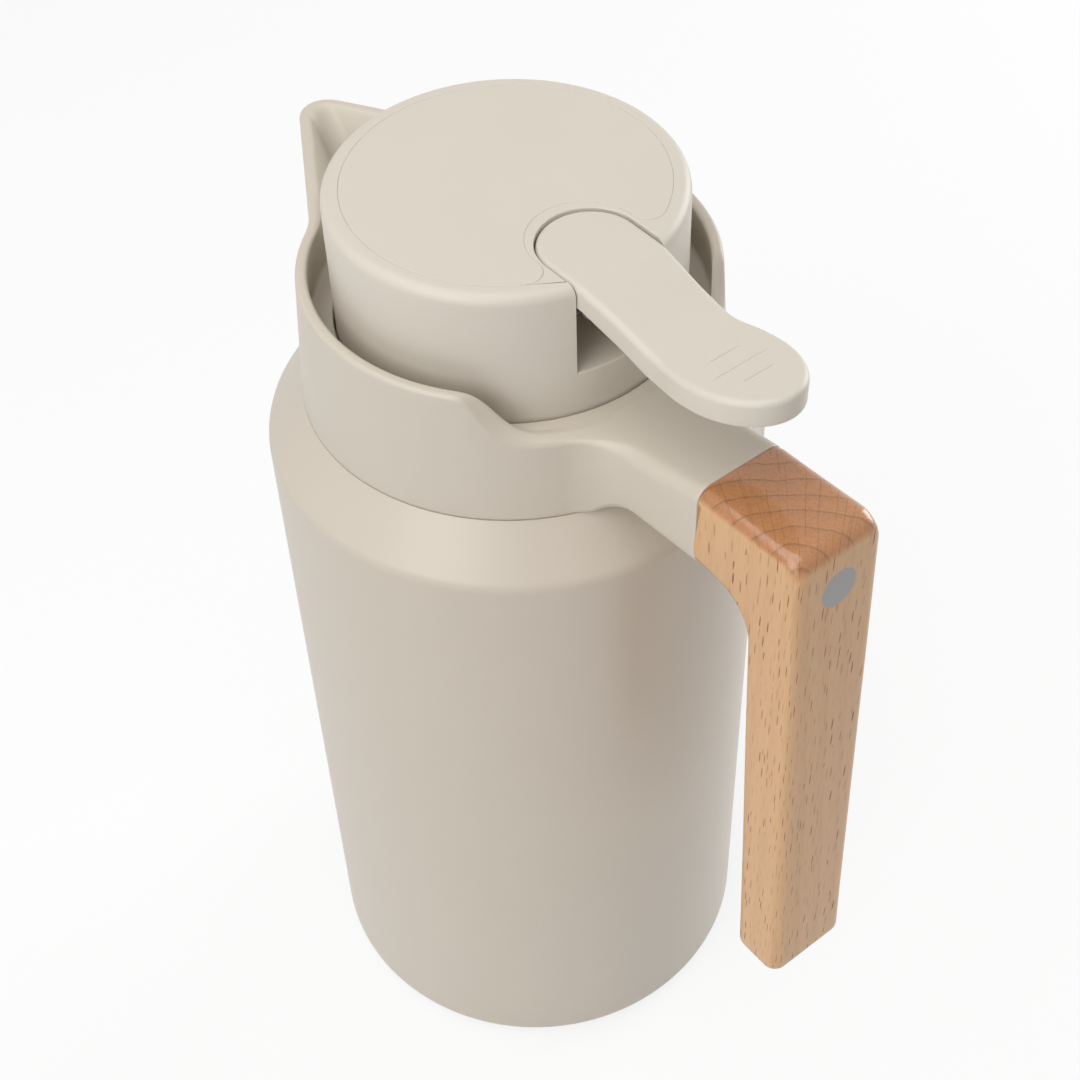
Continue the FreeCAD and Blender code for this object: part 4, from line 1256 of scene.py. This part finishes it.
def lid_top_panel(lid):
    """Panel: two faces and the rows from the top face over its round edge and down to the lower face.

    A half face is ruled by straight lines from the disc's edge to the middle line and the notch.
    """
    form = LidForm(lid)
    foot = lid.top_z - lid.panel_thick
    skin = Skin("lid_top_panel")
    near_edge = 0.01
    share = np.array([0, near_edge, 0.25, 0.5, 0.75, 1 - near_edge, 1])[:, None, None]
    for grow, z in ((-lid.panel_break, lid.top_z), (0.0, foot)):
        disc, notch = form.panel(grow)
        middle = np.linspace([disc[0, 0], 0.0], notch[-1], len(disc) - len(notch) + 1)
        inner = np.vstack([middle, notch[-2::-1]])
        face = disc + share * (inner - disc)
        face = np.concatenate([face, np.full(face.shape[:2] + (1,), z)], axis=-1)
        skin.add(face).add(face * MIRROR)
    rows = []
    for turn in form.broken_edge:
        disc, notch = form.panel(lid.panel_break * (math.sin(turn) - 1))
        z = lid.top_z - lid.panel_break * (1 - math.cos(turn))
        rows.append(at_height(np.vstack([disc, notch[1:]]), z))
    rows.append(at_height(rows[-1][:, :2], foot))
    skin.add(mirrored(np.stack(rows, axis=1)), True)
    return skin.make("lid", "lid_plastic", "lid_panel")


def closing_spring(coil):
    """Tube of radius w round the helix (r cos a, r sin a, p a), with its round section across the wire."""
    steps_per_turn, sides = 48, 12
    low = COIL_LOW[2] + coil.wire_r
    rise = (COIL_HIGH[2] - coil.wire_r - low) / (TURN * coil.turns)
    lean = math.atan(rise / coil.radius)
    angle = np.linspace(0, TURN * coil.turns, steps_per_turn * round(coil.turns) + 1)[:, None]
    around = even_turn(sides)
    out = coil.radius + coil.wire_r * np.cos(around)
    side = coil.wire_r * np.sin(around)
    x = out * np.cos(angle) + side * math.sin(lean) * np.sin(angle)
    y = out * np.sin(angle) - side * math.sin(lean) * np.cos(angle)
    z = low + rise * angle + side * math.cos(lean)
    skin = Skin("closing_spring").add(with_poles(np.stack([x, y, z], axis=-1)), False, True)
    return skin.make("lid", "steel", "valve_spring")


# Lever

class LeverForm:
    """Plan and heights of the thumb lever."""
    end_columns = 40
    side_columns = 90
    pad_columns = 50

    def __init__(self, lever):
        self.lever = lever
        start = lever.end_x - lever.end_r
        corners = [(start, lever.top_z), (lever.bend_x, lever.top_z, lever.bend_round),
                   (lever.low_x, lever.low_z, lever.low_round), (lever.tip_x, lever.tip_z)]
        self.line = corner_line(corners, steps=40)

    def top(self, x):
        """Height of the top: straight runs with round bends."""
        return np.interp(x, self.line[:, 0], self.line[:, 1])

    def low(self, x):
        """Height of the skirt's lower edge, a constant way below the top but a little higher over the lid."""
        lever = self.lever
        share = np.clip((x - lever.bend_x) / (lever.low_x - lever.bend_x), 0, 1)
        return self.top(x) - lever.skirt_root - (lever.skirt - lever.skirt_root) * share

    def outline(self):
        """Half plan at y > 0: a round end, the sides and half an ellipse round the pad.

        The sides are w = end + (waist - end) s(x) + (pad - waist) s(x), with smooth steps s over the waist
        and over the pad's flare.
        """
        lever = self.lever
        end = arc(lever.end_x, 0, lever.end_r, math.pi, math.pi / 2, self.end_columns)
        x = np.linspace(lever.end_x, lever.pad_x, self.side_columns)
        half = lever.end_r + (lever.waist - lever.end_r) * smooth_step(x, lever.waist_start, lever.waist_x)
        half = half + (lever.pad_half - lever.waist) * smooth_step(x, lever.flare_x, lever.flare_end)
        turn = np.linspace(math.pi / 2, 0, self.pad_columns)
        pad_x = lever.pad_x + (lever.tip_x - lever.pad_x) * np.cos(turn)
        pad = np.stack([pad_x, lever.pad_half * np.sin(turn)], axis=1)
        return np.vstack([end, np.stack([x, half], axis=1)[1:], pad[1:]])


def thumb_ridge(form, x, half):
    """Low ridge across the pad, which follows the pad's top.

    Its section is an ellipse that shrinks in a round at both ends.
    """
    sections, sides = 25, 16
    lever = form.lever
    y = half * np.sin(np.linspace(-math.pi / 2, math.pi / 2, sections))
    size = np.sqrt(np.clip((half - np.abs(y)) / (2 * lever.ridge_half), 0, 1))
    angle = even_turn(sides)
    along = x + lever.ridge_half * np.cos(angle) * size[:, None]
    z = form.top(along) + lever.ridge_rise * np.sin(angle) * size[:, None]
    return np.stack([along, np.broadcast_to(y[:, None], along.shape), z], axis=-1)


def lever_hub(lever):
    """Ring of the hub round the hinge pin, turned about the pin."""
    hole, radius, half = lever.hinge_hole, lever.hub_r, lever.hub_half
    line = np.array([(hole, -half), (radius, -half), (radius, half), (hole, half)])
    return np.array([lever.hinge_x, 0.0, lever.hinge_z]) + turned(line, steps=48)[..., [0, 2, 1]]


def lever_works(lever):
    """Bars on the hidden side: web, cranked tongue and the fork with the slot for the stem's pin."""
    web_half, web_margin, web_gap, web_lap = 2.6, 1.0, 0.3, 0.5
    pin_gap = 0.4
    crank, lap, root, slot_end, slot_half = 22.0, 2.0, 4.5, 1.95, 1.35
    hinge_x, hinge_z, hole = lever.hinge_x, lever.hinge_z, lever.hinge_hole
    half, tip = lever.tongue_half, lever.tongue_tip
    web_y = lever.hub_half - web_margin
    low = lever.link_z - lever.tongue_tall / 2
    high = lever.link_z + lever.tongue_tall / 2
    bars = [
        (hinge_x - web_half, hinge_x + web_half, -web_y, web_y,
         hinge_z + hole + web_gap, lever.top_z - lever.wall + web_lap),
        (crank, hinge_x - hole - pin_gap, -half, half, hinge_z - lever.hub_r, hinge_z + lever.hub_r),
        (root, crank + lap, -half, half, low, high),
    ]
    for y0, y1 in ((lever.fork_half, half), (-half, -lever.fork_half)):
        bars += [
            (slot_end, root + lap, y0, y1, low, high),
            (tip, slot_end + lap, y0, y1, low, lever.link_z - slot_half),
            (tip, slot_end + lap, y0, y1, lever.link_z + slot_half, high),
        ]
    return [bar(*sizes) for sizes in bars]


def lever_blade(form):
    """Blade: rows from its middle line to the edge, over it, down the skirt, round its lip and back inside.

    A point of the edge's rows lies r (1 - sin t) inside the plan's outline and r (1 - cos t) below the top.
    """
    lever = form.lever
    flat_rows = 12
    spine_end = lever.pad_x + 3.0
    inner_bevel = 0.3
    lip = lever.lip_round
    quarter = quarter_turn(8)
    outline = mirrored(at_height(form.outline(), 0.0))[:, :2]
    way = np.roll(outline, -1, axis=0) - np.roll(outline, 1, axis=0)
    inward = np.stack([way[:, 1], -way[:, 0]], axis=1) / np.linalg.norm(way, axis=1)[:, None]
    spine_x = np.clip(outline[:, 0], lever.end_x, spine_end)
    spine = np.stack([spine_x, np.zeros_like(spine_x)], axis=1)
    low = form.low(outline[:, 0])

    def drawn_in(inset):
        return outline + inward * inset

    def under_top(plan, drop):
        return at_height(plan, form.top(plan[:, 0]) - drop)

    flat = drawn_in(lever.edge_round)
    shares = np.linspace(0, 1, flat_rows)[:-1]
    rows = [under_top(spine + share * (flat - spine), 0.0) for share in shares]
    for turn in quarter:
        plan = drawn_in(lever.edge_round * (1 - math.sin(turn)))
        rows.append(under_top(plan, lever.edge_round * (1 - math.cos(turn))))
    side_top, side_low = rows[-1], at_height(outline, low + lip)
    rows += [side_top + share * (side_low - side_top) for share in (0.33, 0.67)]
    for turn in quarter[::2]:
        rows.append(at_height(drawn_in(lip * (1 - math.cos(turn))), low + lip * (1 - math.sin(turn))))
    rows.append(at_height(drawn_in(lever.wall - inner_bevel), low))
    rows.append(at_height(drawn_in(lever.wall), low + inner_bevel))
    inner = drawn_in(lever.wall)
    rows += [under_top(spine + share * (inner - spine), lever.wall) for share in (1.0, 0.5, 0.0)]
    return np.stack(rows, axis=1)


def thumb_lever(lever):
    """Lever: blade, three ridges given by their place and half length, hub and hidden works."""
    ridges = ((67.0, 4.2), (71.7, 7.0), (76.2, 4.2))
    form = LeverForm(lever)
    skin = Skin("thumb_lever").add(lever_blade(form), True)
    for x, half in ridges:
        skin.add(thumb_ridge(form, x, half), False, True)
    skin.add(lever_hub(lever), True, True)
    for grid in lever_works(lever):
        skin.add(grid, False, True)
    return skin.make("lever", "lever_plastic", "lever")


# Stage

def aim_camera(scene, stage):
    """Adds the camera, rolled about its own axis, and gives its two level directions: right and ahead."""
    centre = Vector(stage.centre)
    ahead = (Vector(stage.target) - centre).normalized()
    right = ahead.cross(Vector((0, 0, 1))).normalized()
    up = right.cross(ahead)
    turned_right = right * math.cos(stage.roll) + up * math.sin(stage.roll)
    turned_up = up * math.cos(stage.roll) - right * math.sin(stage.roll)
    view = bpy.data.cameras.new("camera")
    view.lens = stage.lens
    camera = bpy.data.objects.new("camera", view)
    axes = Matrix((turned_right, turned_up, -ahead)).transposed().to_4x4()
    camera.matrix_world = Matrix.Translation(centre) @ axes
    scene.collection.objects.link(camera)
    scene.camera = camera
    return right, Vector((ahead.x, ahead.y, 0)).normalized()


def soft_light(name, place, target, size, power):
    """Square area light that faces a point."""
    light = bpy.data.lights.new(name, "AREA")
    light.size = size
    light.energy = power
    lamp = bpy.data.objects.new(name, light)
    lamp.location = place
    lamp.rotation_euler = (target - place).to_track_quat("-Z", "Y").to_euler()
    bpy.context.scene.collection.objects.link(lamp)


def seen_ray(value):
    """1 for a ray that shows the background: from the camera, a reflection or through glass."""
    path = value.node("ShaderNodeLightPath").socket.node.outputs
    names = ("Is Camera Ray", "Is Glossy Ray", "Is Transmission Ray")
    camera, glossy, through = [Value(value.tree, path[name]) for name in names]
    return camera.maths("MAXIMUM", glossy).maths("MAXIMUM", through)


def pale_floor():
    """Wide floor whose own white is mixed with its lit colour.

    So it stays pale and keeps the jug's shadow.
    """
    half, low = 4.0, -0.0002
    glow_share = 0.8
    mesh = bpy.data.meshes.new("floor")
    corners = [(-half, -half, low), (half, -half, low), (half, half, low), (-half, half, low)]
    mesh.from_pydata(corners, [], [(0, 1, 2, 3)])
    floor = bpy.data.objects.new("floor", mesh)
    bpy.context.scene.collection.objects.link(floor)
    material, shader, place = new_material("pale_floor")
    feed(shader, Base_Color=(0.9, 0.9, 0.9, 1.0), Roughness=0.9)
    glow = place.node("ShaderNodeEmission", None, {"Color": WHITE, "Strength": 1.0})
    lit = Value(place.tree, shader.outputs[0])
    mixed = place.node("ShaderNodeMixShader", None, {0: seen_ray(place) * glow_share, 1: lit, 2: glow})
    plug_in(place.tree.nodes["Material Output"].inputs["Surface"], mixed)
    finish_with(floor, material)


def white_room(strength):
    """World that lights evenly and looks white."""
    world = bpy.data.worlds.new("white_room")
    world.use_nodes = True
    sky = world.node_tree.nodes["Background"]
    seen = seen_ray(Value(world.node_tree, sky.outputs[0]))
    feed(sky, Color=WHITE, Strength=strength + seen * (1.0 - strength))
    bpy.context.scene.world = world


# Operators

class JUG_OT_body(Operator):
    """Builds the painted steel body and the liner behind it"""
    bl_idname = "jug.body"
    bl_label = "Body"

    def execute(self, context):
        scene = context.scene
        shell = body_shell(scene.jug_body, scene.jug_collar)
        finish_with(shell, satin_paint("satin_body_paint", scene.jug_finish.body))
        liner = flask_liner(scene.jug_flask, scene.jug_body)
        finish_with(liner, brushed_steel("liner_steel", scene.jug_finish.steel, stretch=(900.0, 900.0, 24.0)))
        return {"FINISHED"}


class JUG_OT_collar(Operator):
    """Builds the collar with its spout and the arm of the handle"""
    bl_idname = "jug.collar"
    bl_label = "Collar"

    def execute(self, context):
        scene = context.scene
        piece = spout_collar(scene.jug_collar, scene.jug_arm)
        finish_with(piece, moulded_plastic("collar_satin", scene.jug_finish.collar, rough=0.4))
        return {"FINISHED"}


class JUG_OT_grip(Operator):
    """Builds the beech grip and the cap over its screw"""
    bl_idname = "jug.grip"
    bl_label = "Grip"

    def execute(self, context):
        scene = context.scene
        finish_with(handle_grip(scene.jug_grip, scene.jug_arm), beech("lacquered_beech", scene.jug_finish))
        cap = screw_plug(scene.jug_grip)
        finish_with(cap, moulded_plastic("cap_plastic", scene.jug_finish.plug, rough=0.45))
        return {"FINISHED"}


class JUG_OT_stopper(Operator):
    """Builds the lid drum, its panel and the thumb lever"""
    bl_idname = "jug.stopper"
    bl_label = "Stopper"

    def execute(self, context):
        scene = context.scene
        satin = moulded_plastic("lid_satin", scene.jug_finish.lid, rough=0.42)
        for piece in (lid_drum(scene.jug_lid), lid_top_panel(scene.jug_lid), thumb_lever(scene.jug_lever)):
            finish_with(piece, satin)
        return {"FINISHED"}


class JUG_OT_works(Operator):
    """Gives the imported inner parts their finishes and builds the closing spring"""
    bl_idname = "jug.works"
    bl_label = "Inner works"

    def execute(self, context):
        finish = context.scene.jug_finish
        steel = brushed_steel("works_steel", finish.steel, stretch=(1500.0, 1500.0, 200.0))
        # Painted shade: the hinge pin's steel is darkened to 0.15 of its tone, so that the pin at the slot's
        # mouth reads as shade and not as bright steel
        dark = brushed_steel("pin_steel_darkened_as_shade", shaded(finish.steel, 0.15), stretch=(200.0, 1500.0, 1500.0))
        rubber = silicone_rubber("works_silicone", finish.silicone)
        plastic = moulded_plastic("works_plastic", finish.lid, rough=0.5)
        brass = brushed_steel("turned_brass", finish.brass, stretch=(200.0, 1800.0, 1800.0))
        groups = (
            (steel, ("base_plate", "getter", "handle_screw", "spring_seat", "valve_nut", "link_pin")),
            # The lever pin takes the steel that is darkened as painted shade
            (dark, ("lever_pin",)),
            (rubber, ("base_pad", "neck_gasket", "stopper_gasket", "stem_seal", "valve_washer")),
            (plastic, ("stopper_cup", "valve_stem", "valve_plate")),
            (brass, ("handle_insert",)),
        )
        for material, nodes in groups:
            for node in nodes:
                finish_with(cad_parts[node], material)
        coil = context.scene.jug_coil
        spring = closing_spring(coil)
        finish_with(spring, steel)
        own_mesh(spring)
        return {"FINISHED"}


class JUG_OT_stage(Operator):
    """Sets the camera, the floor and the light"""
    bl_idname = "jug.stage"
    bl_label = "Stage"

    def execute(self, context):
        scene = context.scene
        stage = scene.jug_stage
        right, level = aim_camera(scene, stage)
        middle = Vector((0.0, 0.0, 0.15))
        # Name, place from the middle to the right, away and up, size and power
        lamps = (
            ("key", (-0.6, -0.85, 0.6), 0.8, stage.key),
            ("rim", (0.9, 0.65, 0.3), 0.7, stage.rim),
            ("top", (-0.3, -0.2, 1.2), 1.3, stage.top),
        )
        for name, (aside, away, above), size, power in lamps:
            place = middle + right * aside + level * away + Vector((0, 0, above))
            soft_light(name, place, middle, size, power)
        white_room(stage.world)
        pale_floor()
        scene.view_settings.view_transform = "Standard"
        return {"FINISHED"}


class JUG_PT_panel(Panel):
    """Lists the jug's pieces"""
    bl_idname = "JUG_PT_panel"
    bl_label = "Thermal jug"
    bl_space_type = "VIEW_3D"
    bl_region_type = "UI"
    bl_category = "Jug"

    def draw(self, context):
        for operator in OPERATORS:
            self.layout.operator(operator.bl_idname)
        for name, group in GROUPS.items():
            box = self.layout.box()
            for key in group.__annotations__:
                box.prop(getattr(context.scene, name), key)


GROUPS = {
    "jug_body": BodySizes,
    "jug_flask": FlaskSizes,
    "jug_collar": CollarSizes,
    "jug_arm": ArmSizes,
    "jug_grip": GripSizes,
    "jug_lid": LidSizes,
    "jug_lever": LeverSizes,
    "jug_coil": CoilSizes,
    "jug_finish": JugFinish,
    "jug_stage": StageSettings,
}
OPERATORS = (JUG_OT_body, JUG_OT_collar, JUG_OT_grip, JUG_OT_stopper, JUG_OT_works, JUG_OT_stage)
CLASSES = tuple(GROUPS.values()) + OPERATORS + (JUG_PT_panel,)


def register():
    for item in CLASSES:
        bpy.utils.register_class(item)
    for name, group in GROUPS.items():
        setattr(bpy.types.Scene, name, PointerProperty(type=group))


def unregister():
    for name in GROUPS:
        delattr(bpy.types.Scene, name)
    for item in reversed(CLASSES):
        bpy.utils.unregister_class(item)


def main():
    register()
    bpy.ops.jug.body()
    bpy.ops.jug.collar()
    bpy.ops.jug.grip()
    bpy.ops.jug.stopper()
    bpy.ops.jug.works()
    bpy.ops.jug.stage()


if __name__ == "__main__":
    main()
